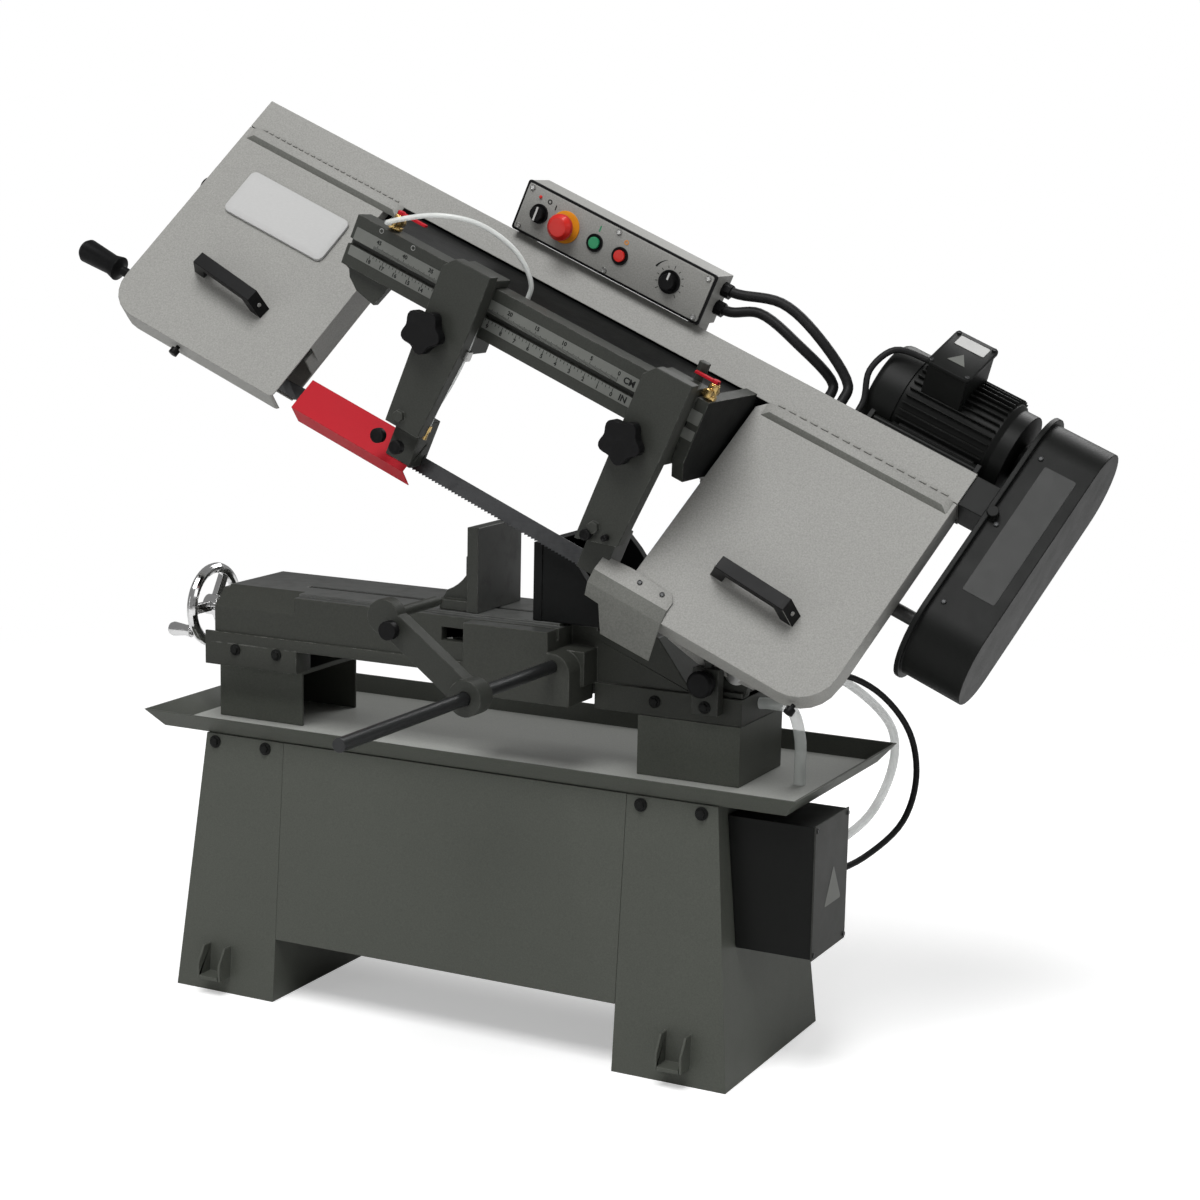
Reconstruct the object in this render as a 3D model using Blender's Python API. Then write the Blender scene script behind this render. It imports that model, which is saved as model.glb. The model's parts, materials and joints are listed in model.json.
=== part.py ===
"""Horizontal metal-cutting band saw on a sheet-steel stand, bow raised.

Millimetres below, scaled by MM into Blender's metres.  +X runs along the stock feed's cross direction,
from the idler-wheel end to the motor end, +Y away from the operator, +Z up.

Three frames carry everything:
  stand frame  x, y, z       origin at the front left foot's corner, on the floor
  bow frame    a, y, h       origin on the bow's hinge axis, a along the bow, h square to it
  wheel frame  a, p, k       origin on the cutting strand of the blade, p up the wheel plane from that
                             strand, k square to the wheels, towards the doors
"""
import math

import bmesh
import bpy
from mathutils import Matrix, Vector

MM = 0.001
GAP = 0.3                      # clearance between touching pieces
OVERLAP = 1.0                  # how far fused parts of one casting reach into each other

# ---- stand -------------------------------------------------------------------------------------
STAND_LENGTH = 986.0
STAND_DEPTH = 359.0
LEG_WIDTH = 188.0
LEG_HEIGHT = 422.6
END_TAPER = 0.094              # lean of the outer end faces, run over rise
SIDE_TAPER = 0.079             # lean of the front and back faces
SHEET = 3.0
PANEL_FOOT = 103.0             # height of the panels' lower edge
TRAY_X = (-46.5, 1052.0)       # fold line of the chip tray
TRAY_Y = (36.5, 411.0)
TRAY_LIP = 24.0                # how far the lip leans out
TRAY_RISE = 29.3
HOOK_SIZE = (44.0, 30.0, 52.0)
PEDESTAL_X = ((-7.0, 156.0), (764.0, 934.0))
PEDESTAL_Y = (136.0, 300.0)
PEDESTAL_TOP = 519.0
CABINET = (117.0, 196.0, 226.0)  # switch cabinet, across x, y, z
CABINET_Y = 64.0
CABINET_TOP = 404.0

# ---- vise bed ----------------------------------------------------------------------------------
BASE_TOP = 561.0               # top of the base plates that sit on the pedestals
BED_X = (10.0, 700.0)
BED_FRONT = 98.0
BED_BACK = 292.0
BED_TOP = 646.0
WAY_RISE = 5.0                 # the jaw slides on a way this much higher
WAY_Y = (112.0, 280.0)
BED_WALL = 18.0
SCREW_Y = 178.0
SCREW_Z = 602.0
SCREW_RADIUS = 12.0
TABLE_X = (499.0, 646.0)       # front table beside the blade slot
TABLE_FRONT = 61.0
SLOT_WIDTH = 7.6
JAW_HEIGHT = 112.0
JAW_Y = (124.0, 276.0)
FIXED_JAW_X = 593.0
MOVABLE_JAW_X = 476.0
HANDWHEEL_RADIUS = 71.0
HANDWHEEL_X = -48.0
STOP_ROD = (654.0, 594.0)      # x, z of the bar stop's rod
STOP_ROD_RADIUS = 10.0
STOP_ROD_LENGTH = 590.0
STOP_ARM_Y = -186.0

# ---- bow ---------------------------------------------------------------------------------------
BOW_ANGLE = math.radians(23.1)     # raised
WHEEL_TILT = math.radians(52.1)    # wheel plane, from square to the stand's front
HINGE_Z = 600.0
CUT_DEPTH = 4.6                    # how far the teeth end below the table
BLADE_WIDTH = 25.4
BLADE_THICK = 0.9
BLADE_Y = 94.2
WHEEL_RADIUS = 163.0
WHEEL_WIDTH = 26.0
IDLER_A = -1010.0
DRIVE_A = -22.0
BOW_LEFT = -1189.0
BOW_RIGHT = 163.0
DOOR_FACE = 45.0                   # the doors' outer face, above the blade's middle
DOOR_SKIRT = 44.0
DOOR_SHEET = 2.5
DOOR_FOOT = -42.0
HINGE_P = 348.0                    # the doors' hinge line
FRAME_TOP = 403.0
LEFT_DOOR_END = -841.0
RIGHT_DOOR_START = -181.0
PAN_BACK = -19.5
PAN_WALL = 4.5
PAN_FOOT = -9.0
PAN_TOP = 346.0
BEAM_A = (-835.0, -198.0)
BEAM_Y = (84.2, 120.0)
BEAM_H = (279.0, 360.0)
BEAM_GROOVE = 9.0
VALVE_A = (-776.0, -196.0)
LEFT_ARM_A = -604.0
RIGHT_ARM_A = -241.0
HUB_RADIUS = 24.0
SHAFT_RADIUS = 14.0
CHEEK_Y = (170.0, 268.0)
CHEEK_THICK = 16.0
MOTOR_P, MOTOR_K = 490.0, -40.0
MOTOR_RADIUS = 80.0
GUARD_A = (211.0, 309.0)
GUARD_P = (187.0, 491.0)           # centres of the belt guard's round ends
GUARD_RADIUS = 76.0
GUARD_K = -40.0
GEAR_P, GEAR_K = 215.0, -66.0      # input shaft of the gearbox

# ---- derived places ----------------------------------------------------------------------------
TABLE_Z = BED_TOP
TOOTH_H = TABLE_Z - CUT_DEPTH - HINGE_Z
BLADE_H = TOOTH_H + BLADE_WIDTH / 2
RAISED_TOOTH_LINE = 954.6          # square distance of the raised tooth line from the stand's origin
HINGE_X = (RAISED_TOOTH_LINE - TOOTH_H - HINGE_Z * math.cos(BOW_ANGLE)) / math.sin(BOW_ANGLE)

root = None
frames = {}


# ---- helpers -----------------------------------------------------------------------------------
def clear_scene():
    for item in list(bpy.data.objects):
        bpy.data.objects.remove(item, do_unlink=True)


def empty(name, matrix, parent=None):
    item = bpy.data.objects.new(name, None)
    bpy.context.scene.collection.objects.link(item)
    item.parent = parent
    item.matrix_local = matrix
    return item


def finish(name, colour, rough, metal=0.0):
    material = bpy.data.materials.get(name) or bpy.data.materials.new(name)
    material.use_nodes = True
    shader = material.node_tree.nodes["Principled BSDF"]
    shader.inputs["Base Color"].default_value = (*colour, 1)
    shader.inputs["Roughness"].default_value = rough
    shader.inputs["Metallic"].default_value = metal
    material.diffuse_color = (*colour, 1)
    return material


def mesh_object(name, build):
    """Make an object whose bmesh is filled by build(bm); faces are turned outwards."""
    bm = bmesh.new()
    build(bm)
    bmesh.ops.remove_doubles(bm, verts=bm.verts, dist=1e-4)
    bmesh.ops.recalc_face_normals(bm, faces=bm.faces)
    mesh = bpy.data.meshes.new(name)
    bm.to_mesh(mesh)
    bm.free()
    item = bpy.data.objects.new(name, mesh)
    bpy.context.scene.collection.objects.link(item)
    return item


def block(x, y, z):
    def build(bm):
        made = bmesh.ops.create_cube(bm, size=1)["verts"]
        for vert in made:
            vert.co = Vector(((x[0] + x[1]) / 2 + vert.co.x * (x[1] - x[0]),
                              (y[0] + y[1]) / 2 + vert.co.y * (y[1] - y[0]),
                              (z[0] + z[1]) / 2 + vert.co.z * (z[1] - z[0])))
    return mesh_object("block", build)


AXES = {"x": lambda u, v, t: (t, u, v), "y": lambda u, v, t: (u, t, v), "z": lambda u, v, t: (u, v, t)}


def prism(axis, outline, low, high):
    """Extrude a flat outline along an axis; the outline is (y, z), (x, z) or (x, y)."""
    place = AXES[axis]

    def build(bm):
        start = bm.faces.new([bm.verts.new(place(u, v, low)) for u, v in outline])
        moved = bmesh.ops.extrude_face_region(bm, geom=[start])["geom"]
        step = Vector(place(0, 0, high)) - Vector(place(0, 0, low))
        bmesh.ops.translate(bm, verts=[g for g in moved if isinstance(g, bmesh.types.BMVert)], vec=step)
    return mesh_object("prism", build)


def circle(cu, cv, radius, count=24, start=0.0, sweep=2 * math.pi, closed=True):
    steps = count if closed else count + 1
    return [(cu + radius * math.cos(start + sweep * i / count),
             cv + radius * math.sin(start + sweep * i / count)) for i in range(steps)]


def bar(axis, cu, cv, radius, low, high, count=24):
    return prism(axis, circle(cu, cv, radius, count), low, high)


def stadium(c0, c1, radius, count=10):
    """Outline round two points: a half circle past each, straight sides between."""
    lean = math.atan2(c1[1] - c0[1], c1[0] - c0[0])
    first = circle(*c1, radius, count, lean - math.pi / 2, math.pi, False)
    return first + circle(*c0, radius, count, lean + math.pi / 2, math.pi, False)


def rounded(points, radii, count=4):
    """Outline whose corners are arcs; a radius of 0 keeps a corner sharp."""
    outline = []
    for i, (point, radius) in enumerate(zip(points, radii)):
        here = Vector(point)
        if not radius:
            outline.append(tuple(here))
            continue
        back = (Vector(points[i - 1]) - here).normalized()
        ahead = (Vector(points[(i + 1) % len(points)]) - here).normalized()
        half = back.angle(ahead) / 2
        reach = radius / math.tan(half)
        centre = here + (back + ahead).normalized() * (radius / math.sin(half))
        first, last = here + back * reach - centre, here + ahead * reach - centre
        turn = first.angle_signed(last)
        for step in range(count + 1):
            outline.append(tuple(centre + Matrix.Rotation(-turn * step / count, 2) @ first))
    return outline


def turned(axis, centre, profile, count=32):
    """Turn a closed (radius, along) profile round an axis through centre (u, v)."""
    place = AXES[axis]

    def build(bm):
        rings = []
        for radius, along in profile:
            if radius < 1e-6:
                rings.append([bm.verts.new(place(*centre, along))])
            else:
                rings.append([bm.verts.new(place(u, v, along)) for u, v in circle(*centre, radius, count)])
        for ring, other in zip(rings, rings[1:] + rings[:1]):
            if len(ring) == 1 and len(other) == 1:
                continue
            for i in range(count):
                j = (i + 1) % count
                corners = [ring[i % len(ring)], ring[j % len(ring)], other[j % len(other)], other[i % len(other)]]
                corners = list(dict.fromkeys(corners))
                bm.faces.new(corners)
    return mesh_object("turned", build)


def loft(sections):
    """Closed skin through sections of equal point count, capped at both ends."""
    def build(bm):
        rings = [[bm.verts.new(p) for p in section] for section in sections]
        for ring, other in zip(rings, rings[1:]):
            for i in range(len(ring)):
                j = (i + 1) % len(ring)
                bm.faces.new([ring[i], ring[j], other[j], other[i]])
        bm.faces.new(rings[0])
        bm.faces.new(rings[-1])
    return mesh_object("loft", build)


def placed(item, matrix):
    item.data.transform(matrix)
    return item


def spun(item, axis, degrees, centre):
    where = Vector(centre)
    turn = Matrix.Translation(where) @ Matrix.Rotation(math.radians(degrees), 4, axis) @ Matrix.Translation(-where)
    return placed(item, turn)


def combine(base, others, operation):
    for other in others:
        modifier = base.modifiers.new("shape", "BOOLEAN")
        modifier.operation = operation
        modifier.solver = "EXACT"
        modifier.object = other
        depsgraph = bpy.context.evaluated_depsgraph_get()
        result = bpy.data.meshes.new_from_object(base.evaluated_get(depsgraph))
        base.modifiers.clear()
        base.data = result
        bpy.data.objects.remove(other, do_unlink=True)
    return base


def fuse(parts):
    return combine(parts[0], parts[1:], "UNION")


def cut(base, tools):
    return combine(base, tools, "DIFFERENCE")


def piece(name, item, frame, material, at=(0.0, 0.0, 0.0), smooth=False):
    """Name a finished shape, hang it in its frame and put its origin at a point of that frame."""
    item.name = name
    item.data.name = name
    item.data.transform(Matrix.Translation(-Vector(at)))
    item.data.transform(Matrix.Scale(MM, 4))
    bm = bmesh.new()
    bm.from_mesh(item.data)
    bmesh.ops.remove_doubles(bm, verts=bm.verts, dist=2e-6)
    bmesh.ops.dissolve_degenerate(bm, dist=2e-6, edges=bm.edges)
    bmesh.ops.dissolve_limit(bm, angle_limit=math.radians(0.2), verts=bm.verts, edges=bm.edges)
    bmesh.ops.triangulate(bm, faces=[f for f in bm.faces if len(f.verts) > 4])
    bm.to_mesh(item.data)
    bm.free()
    item.data.materials.clear()
    item.data.materials.append(material)
    item.parent = frames[frame]
    item.location = Vector(at) * MM
    if smooth:
        item.data.shade_smooth()
        item.data.set_sharp_from_angle(angle=math.radians(35))
    return item


def cord(name, points, radius, frame, material, sides=2, steps=3):
    """Round cord on a smooth curve through chosen points."""
    path = smooth_path([Vector(p) for p in points], steps)
    curve = bpy.data.curves.new(name, "CURVE")
    curve.dimensions = "3D"
    curve.bevel_depth = radius * MM
    curve.bevel_resolution = sides
    curve.use_fill_caps = True
    line = curve.splines.new("POLY")
    line.points.add(len(path) - 1)
    for point, where in zip(line.points, path):
        point.co = (*(where * MM), 1)
    item = bpy.data.objects.new(name, curve)
    bpy.context.scene.collection.objects.link(item)
    item.parent = frames[frame]
    curve.materials.append(material)
    return item


def smooth_path(points, steps):
    """Centripetal curve through the points, read at even parameter steps."""
    ends = [2 * points[0] - points[1]] + points + [2 * points[-1] - points[-2]]
    path = []
    for p0, p1, p2, p3 in zip(ends, ends[1:], ends[2:], ends[3:]):
        k0 = 0.0
        k1 = k0 + (p1 - p0).length ** 0.5
        k2 = k1 + (p2 - p1).length ** 0.5
        k3 = k2 + (p3 - p2).length ** 0.5
        for i in range(steps):
            t = k1 + (k2 - k1) * i / steps
            a1 = p0.lerp(p1, (t - k0) / (k1 - k0))
            a2 = p1.lerp(p2, (t - k1) / (k2 - k1))
            a3 = p2.lerp(p3, (t - k2) / (k3 - k2))
            b1 = a1.lerp(a2, (t - k0) / (k2 - k0))
            b2 = a2.lerp(a3, (t - k1) / (k3 - k1))
            path.append(b1.lerp(b2, (t - k1) / (k2 - k1)))
    path.append(points[-1])
    return path


def wheel_to_bow(a, p, k):
    return Vector((a, BLADE_Y + p * math.cos(WHEEL_TILT) - k * math.sin(WHEEL_TILT),
                   BLADE_H + p * math.sin(WHEEL_TILT) + k * math.cos(WHEEL_TILT)))


def bow_to_stand(a, y, h):
    return Vector((HINGE_X + a * math.cos(BOW_ANGLE) + h * math.sin(BOW_ANGLE), y,
                   HINGE_Z - a * math.sin(BOW_ANGLE) + h * math.cos(BOW_ANGLE)))


# ---- stand -------------------------------------------------------------------------------------
def end_face(z):
    """How far the outer end faces have leaned in at height z."""
    return END_TAPER * z


def side_face(z):
    return SIDE_TAPER * z


def leg_solid(x0, x1, lean0, lean1, inset, z0, z1):
    sections = []
    for z in (z0, z1):
        low = x0 + lean0 * z + inset
        high = x1 - lean1 * z - inset
        front = side_face(z) + inset
        back = STAND_DEPTH - side_face(z) - inset
        sections.append([(low, front, z), (high, front, z), (high, back, z), (low, back, z)])
    return loft(sections)


def leg(name, x0, x1, lean0, lean1):
    shell = leg_solid(x0, x1, lean0, lean1, 0, 0, LEG_HEIGHT)
    shell = cut(shell, [leg_solid(x0, x1, lean0, lean1, SHEET, -10, LEG_HEIGHT - SHEET)])
    middle = (x0 + x1) / 2 + (12 if lean0 == 0 else -12)
    wide, deep, tall = HOOK_SIZE
    hook = block((middle - wide / 2, middle + wide / 2), (side_face(28) - deep, side_face(28) + OVERLAP), (27, 33))
    ears = [hook]
    for side in (-1, 1):
        edge = middle + side * (wide / 2 - 2)
        outline = [(side_face(27) - deep, 27), (side_face(27) + OVERLAP, 27),
                   (side_face(27 + tall) + OVERLAP, 27 + tall), (side_face(27) - deep + 16, 27 + tall),
                   (side_face(27) - deep, 27 + tall * 0.5)]
        ears.append(prism("x", outline, edge - 2, edge + 2))
    return piece(name, fuse([shell] + ears), "stand", OLIVE)


def panels():
    x0 = LEG_WIDTH + GAP
    x1 = STAND_LENGTH - LEG_WIDTH - GAP
    low, high = PANEL_FOOT, LEG_HEIGHT
    front = prism("x", [(side_face(low), low), (side_face(low) + SHEET, low), (side_face(high) + SHEET, high),
                        (side_face(high), high)], x0, x1)
    piece("front_panel", front, "stand", OLIVE)
    back = STAND_DEPTH
    rear = prism("x", [(back - side_face(low), low), (back - side_face(high), high),
                       (back - side_face(high) - SHEET, high), (back - side_face(low) - SHEET, low + SHEET),
                       (70, low + SHEET), (70, low)], x0, x1)
    piece("rear_panel", rear, "stand", OLIVE)
    tank = fuse([block((260, 640), (90, 290), (low + SHEET + GAP, 250)), bar("z", 560, 190, 55, 249, 330),
                 bar("z", 560, 190, 62, 325, 336)])
    piece("coolant_tank", tank, "stand", finish("tank", (0.05, 0.05, 0.05), 0.5))


def tray_solid(inset, z0, z1, reach):
    sections = []
    for z, out in ((z0, 0.0), (z1, reach)):
        x0, x1 = TRAY_X[0] - out + inset, TRAY_X[1] + out - inset
        y0, y1 = TRAY_Y[0] - out + inset, TRAY_Y[1] + out - inset
        sections.append([(x0, y0, z), (x1, y0, z), (x1, y1, z), (x0, y1, z)])
    return loft(sections)


def chip_tray():
    low = LEG_HEIGHT + GAP
    high = low + TRAY_RISE
    rate = TRAY_LIP / TRAY_RISE
    outer = tray_solid(0, low, high, TRAY_LIP)
    inner = tray_solid(SHEET * 1.3, low + SHEET, high + 10, TRAY_LIP + 10 * rate)
    piece("chip_tray", cut(outer, [inner]), "stand", OLIVE)


def pedestals():
    low = LEG_HEIGHT + GAP + SHEET + GAP
    for name, (x0, x1), opened in (("left_pedestal", PEDESTAL_X[0], 40), ("right_pedestal", PEDESTAL_X[1], -4)):
        shell = block((x0, x1), PEDESTAL_Y, (low, PEDESTAL_TOP))
        hollow = block((x0 + 4, x1 + opened), (PEDESTAL_Y[0] + 4, PEDESTAL_Y[1] - 4), (low - 10, PEDESTAL_TOP - 8))
        piece(name, cut(shell, [hollow]), "stand", OLIVE)


def cabinet():
    low = CABINET_TOP - CABINET[2] + 26
    y0, y1 = CABINET_Y, CABINET_Y + CABINET[1] - 66
    right = STAND_LENGTH + 100

    def outline(inset):
        return [(STAND_LENGTH - end_face(low) + 1 + inset, low + inset), (right, low + inset),
                (right, CABINET_TOP - inset), (STAND_LENGTH - end_face(CABINET_TOP) + 1 + inset, CABINET_TOP - inset)]
    shell = prism("y", outline(0), y0, y1)
    inner = outline(3)
    inner[1] = (right + 10, inner[1][1])
    inner[2] = (right + 10, inner[2][1])
    shell = cut(shell, [prism("y", inner, y0 + 3, y1 - 3)])
    piece("switch_cabinet", shell, "stand", BLACK)
    door = block((right + GAP, right + 3), (y0 - 1.5, y1 + 1.5), (low - 1.5, CABINET_TOP + 1.5))
    piece("cabinet_door", door, "stand", BLACK, (right + 3, y1 + 1.5, (low + CABINET_TOP) / 2))


# ---- vise --------------------------------------------------------------------------------------
def vise_bed():
    foot = PEDESTAL_TOP + GAP
    left, right = BED_X
    nose_low = BASE_TOP - 27
    body = block((left, 690), (BED_FRONT, BED_BACK), (BASE_TOP - 1, BED_TOP))
    left_plate = block((left - 14, 172), (PEDESTAL_Y[0], PEDESTAL_Y[1]), (foot, BASE_TOP))
    right_plate = block((689, PEDESTAL_X[1][1] + 1), (PEDESTAL_Y[0], PEDESTAL_Y[1]), (foot, BASE_TOP))
    way = block((left + 10, 640), WAY_Y, (BED_TOP - 1, BED_TOP + WAY_RISE))
    nose = prism("y", [(TABLE_X[0], nose_low), (684, nose_low)] + circle(654, 584, 30, 8, 0, math.pi / 2, False)
                 + [(TABLE_X[0], 614)], TABLE_FRONT, 142)
    table = block(TABLE_X, (TABLE_FRONT, BED_FRONT + 1), (613, BED_TOP))
    tail = prism("y", [(640, BASE_TOP - 20), (850, BASE_TOP - 20), (850, BASE_TOP + 1), (792, 640), (640, 640)],
                 142, BED_BACK)
    rear = block((560, 740), (BED_BACK - 1, 392), (BED_TOP - 32, BED_TOP))
    bed = fuse([body, left_plate, right_plate, nose, table, tail, rear, way])
    hollow = block((left + BED_WALL, 588), (BED_FRONT + BED_WALL, BED_BACK - BED_WALL), (0, BED_TOP - 16))
    under = block((172, 496), (0, 400), (0, BASE_TOP + 6))
    under_right = block((690, 740), (143, 400), (0, BASE_TOP - 20))
    slot = block((TABLE_X[0] - 10, TABLE_X[1] + 10), (BLADE_Y - SLOT_WIDTH / 2, BLADE_Y + SLOT_WIDTH / 2),
                 (BED_TOP - 18, BED_TOP + 9))
    corner = block((TABLE_X[1], 691), (0, 142), (614, 700))
    keyway = block((142, 584), (SCREW_Y - 6, SCREW_Y + 6), (BED_TOP - 30, BED_TOP + 20))
    bore = bar("x", SCREW_Y, SCREW_Z, SCREW_RADIUS + GAP, left - 30, left + 40)
    edge = prism("x", [(BED_FRONT - 9, BED_TOP - 37), (BED_FRONT - 9, BED_TOP + 9), (BED_FRONT + 37, BED_TOP + 9)],
                 left - 20, 165)
    window = block((440, 480), (BED_FRONT - 5, BED_FRONT + 40), (606, 627))
    bed = cut(bed, [hollow, under, under_right, slot, corner, keyway, bore, edge, window])
    piece("vise_bed", bed, "stand", OLIVE)


def fixed_jaw():
    top = BED_TOP + WAY_RISE
    z0 = top + GAP
    x0 = FIXED_JAW_X
    plate = block((x0, x0 + 15), (112, 390), (BED_TOP + GAP, top + JAW_HEIGHT + 10))
    spare = block((x0 - 5, x0 + 145), (108, WAY_Y[1] + 4), (0, z0))
    foot = block((x0 + 10, x0 + 141), (114, 276), (z0, z0 + 14))
    jaw = [plate, foot]
    for y in (114, 330):
        low = z0 if y < 200 else BED_TOP + GAP
        outline = [(x0 + 10, low), (x0 + 141, low), (x0 + 127, low + 18), (x0 + 72, low + 94),
                   (x0 + 50, low + 118), (x0 + 10, low + 118)]
        jaw.append(prism("y", outline, y, y + 16))
    jaw = fuse(jaw)
    jaw = cut(jaw, [spare]) if spare else jaw
    piece("fixed_jaw", jaw, "stand", DARK)


def movable_jaw():
    z0 = BED_TOP + WAY_RISE + GAP
    x1 = MOVABLE_JAW_X + 20
    face = block((MOVABLE_JAW_X, x1), (112, 252), (z0, z0 + 134))
    foot = prism("z", rounded([(x1 - 78, 118), (x1 - 1, 118), (x1 - 1, 246), (x1 - 78, 246)], [14, 0, 0, 14]),
                 z0, z0 + 16)
    sweep = circle(x1 - 90, z0 + 95, 70, 8, -math.pi / 2 + 0.35, math.pi / 2 - 0.35, False)
    web = [(x1 - 78, z0 + 10), (x1 - 5, z0 + 10), (x1 - 5, z0 + 133)] + [(x1 - 20, z0 + 133)] + sweep[::-1]
    webs = [prism("y", web, y, y + 14) for y in (132, 218)]
    post = bar("z", x1 - 50, 123 + 60, 10, z0 + 15, z0 + 76)
    keel = block((x1 - 70, x1 - 6), (SCREW_Y - 5, SCREW_Y + 5), (SCREW_Z - 20, z0 + 1))
    nut = block((x1 - 70, x1 - 6), (SCREW_Y - 22, SCREW_Y + 22), (SCREW_Z - 20, SCREW_Z + 22))
    jaw = cut(fuse([face, foot, post, keel, nut] + webs), [bar("x", SCREW_Y, SCREW_Z, SCREW_RADIUS + GAP, 300, 600)])
    piece("movable_jaw", jaw, "stand", DARK)


def screw_and_wheel():
    at = (HANDWHEEL_X, SCREW_Y, SCREW_Z)
    centre = (SCREW_Y, SCREW_Z)
    rod = turned("x", centre, [(0, HANDWHEEL_X - 12), (9, HANDWHEEL_X - 12), (9, HANDWHEEL_X + 16),
                               (SCREW_RADIUS, HANDWHEEL_X + 16), (SCREW_RADIUS, BED_X[0] - 18),
                               (20, BED_X[0] - 18), (20, BED_X[0] - GAP), (SCREW_RADIUS, BED_X[0] - GAP),
                               (SCREW_RADIUS, 556), (0, 556)], 24)
    piece("leadscrew", rod, "stand", STEEL, at)
    radius = HANDWHEEL_RADIUS
    rim = turned("x", centre, [(radius - 9 + 9 * math.cos(t), HANDWHEEL_X + 9 * math.sin(t))
                               for t in [i * math.pi / 5 for i in range(10)]], 48)
    hub = bar("x", *centre, 17, HANDWHEEL_X - 12, HANDWHEEL_X + 14)
    spokes = []
    for turn in (90, 210, 330):
        arm = block((HANDWHEEL_X - 5, HANDWHEEL_X + 5), (SCREW_Y - 8, SCREW_Y + 8), (SCREW_Z + 10, SCREW_Z + radius - 8))
        spokes.append(spun(arm, "X", turn, at))
    spot = grip_place()
    boss = bar("x", *spot, 6, HANDWHEEL_X - 50, HANDWHEEL_X, 16)
    wheel = cut(fuse([rim, hub, boss] + spokes), [bar("x", *centre, 9 + GAP, -200, 0)])
    piece("handwheel", wheel, "stand", CHROME, at)
    grip = turned("x", spot, [(6 + GAP, HANDWHEEL_X - 52), (6 + GAP, HANDWHEEL_X - 10), (11, HANDWHEEL_X - 10),
                              (9, HANDWHEEL_X - 22), (12, HANDWHEEL_X - 46), (10, HANDWHEEL_X - 52)], 20)
    piece("handwheel_grip", grip, "stand", CHROME, (HANDWHEEL_X, *spot))


def grip_place():
    angle = math.radians(218)
    reach = HANDWHEEL_RADIUS - 9
    return (SCREW_Y + reach * math.cos(angle), SCREW_Z + reach * math.sin(angle))


def bar_stop():
    x, z = STOP_ROD
    end = TABLE_FRONT - GAP
    piece("stop_rod", bar("y", x, z, STOP_ROD_RADIUS, end - STOP_ROD_LENGTH, end), "stand", STEEL)
    tip = (515.0, 697.0)
    reach = Vector((tip[0] - x, tip[1] - z)).length
    turn = math.degrees(math.atan2(tip[1] - z, tip[0] - x))
    y0, y1 = STOP_ARM_Y - 12, STOP_ARM_Y + 12
    strap = prism("y", stadium((x, z), (x + reach * 0.86, z), 20, 8), y0, y1)
    head = bar("y", x + reach, z, 26, y0, y1, 28)
    eye = bar("y", x, z, 27, y0 - 6, y1 + 6, 28)
    arm = spun(fuse([strap, head, eye]), "Y", -turn, (x, 0, z))
    finger = bar("y", *tip, 8, y0, -48, 20)
    point = bar("y", *tip, 6, -49, -38, 20)
    arm = cut(fuse([arm, finger, point]), [bar("y", x, z, STOP_ROD_RADIUS + GAP, -400, 0)])
    piece("stop_arm", arm, "stand", DARK)
    spot = (tip[0] + 20, tip[1] - 15)
    knob = turned("y", spot, [(0, y0 - GAP), (5, y0 - GAP), (5, y0 - 6), (14, y0 - 8), (14, y0 - 22), (0, y0 - 22)], 16)
    piece("stop_arm_knob", knob, "stand", BLACK, (spot[0], y0 - 8, spot[1]))


def pivot():
    top = BASE_TOP + GAP
    x = HINGE_X
    ears = [block((x - 40, x + 12), (PEDESTAL_Y[0] + 6, PEDESTAL_Y[1] - 4), (top, top + 8))]
    for y in (150, 284):
        outline = [(x - 38, top + 1), (x + 13, top + 1)] + circle(x, HINGE_Z, HUB_RADIUS, 12, -0.5, math.pi + 0.7, False)
        ears.append(prism("y", outline, y, y + 15))
    ears = cut(fuse(ears), [bar("y", x, HINGE_Z, SHAFT_RADIUS + GAP, 0, 400)])
    piece("pivot_bracket", ears, "stand", DARK)
    shaft = turned("y", (x, HINGE_Z), [(0, 143), (19, 143), (19, 150 - GAP), (SHAFT_RADIUS, 150 - GAP),
                                       (SHAFT_RADIUS, 303), (0, 303)], 28)
    piece("pivot_shaft", shaft, "stand", STEEL)


def feed_valve():
    body = fuse([block((862, 905), (115, PEDESTAL_Y[0] - GAP), (536, 607)), bar("z", 885, 126, 7, 606, 618, 16),
                 bar("z", 885, 126, 9, 616, 628, 16)])
    piece("feed_valve", body, "stand", DARK)
    knob = turned("y", (883, 586), [(0, 92), (17, 92), (21, 96), (21, 108), (15, 114.7), (0, 114.7)], 28)
    piece("feed_knob", knob, "stand", BLACK, (883, 103, 586))


# ---- bow ---------------------------------------------------------------------------------------
WHEEL_P = BLADE_THICK / 2 + GAP + (WHEEL_RADIUS - 3)


def wheel_box(a, p, k):
    return block(a, p, k)


def wheel_rod(a, p, radius, k0, k1, count=24):
    return bar("z", a, p, radius, k0, k1, count)


LEFT_DOOR = [(BOW_LEFT, DOOR_FOOT), (-840, DOOR_FOOT), (-840, 198), (-893, 214), (-893, 345), (BOW_LEFT, 345)]
LEFT_DOOR_R = [55, 8, 6, 8, 0, 0]
RIGHT_DOOR = [(RIGHT_DOOR_START, DOOR_FOOT), (BOW_RIGHT, DOOR_FOOT), (BOW_RIGHT, 345), (-168, 345), (-181, 331)]
RIGHT_DOOR_R = [8, 62, 0, 0, 0]


def inset_outline(outline, amount):
    """Move every side of a counter-clockwise outline inwards."""
    count = len(outline)
    moved = []
    for i in range(count):
        before, here, after = (Vector(outline[j % count]) for j in (i - 1, i, i + 1))
        d0, d1 = (here - before).normalized(), (after - here).normalized()
        n0, n1 = Vector((-d0.y, d0.x)), Vector((-d1.y, d1.x))
        moved.append(tuple(here + (n0 + n1) * (amount / (1 + n0.dot(n1)))))
    return moved


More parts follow.
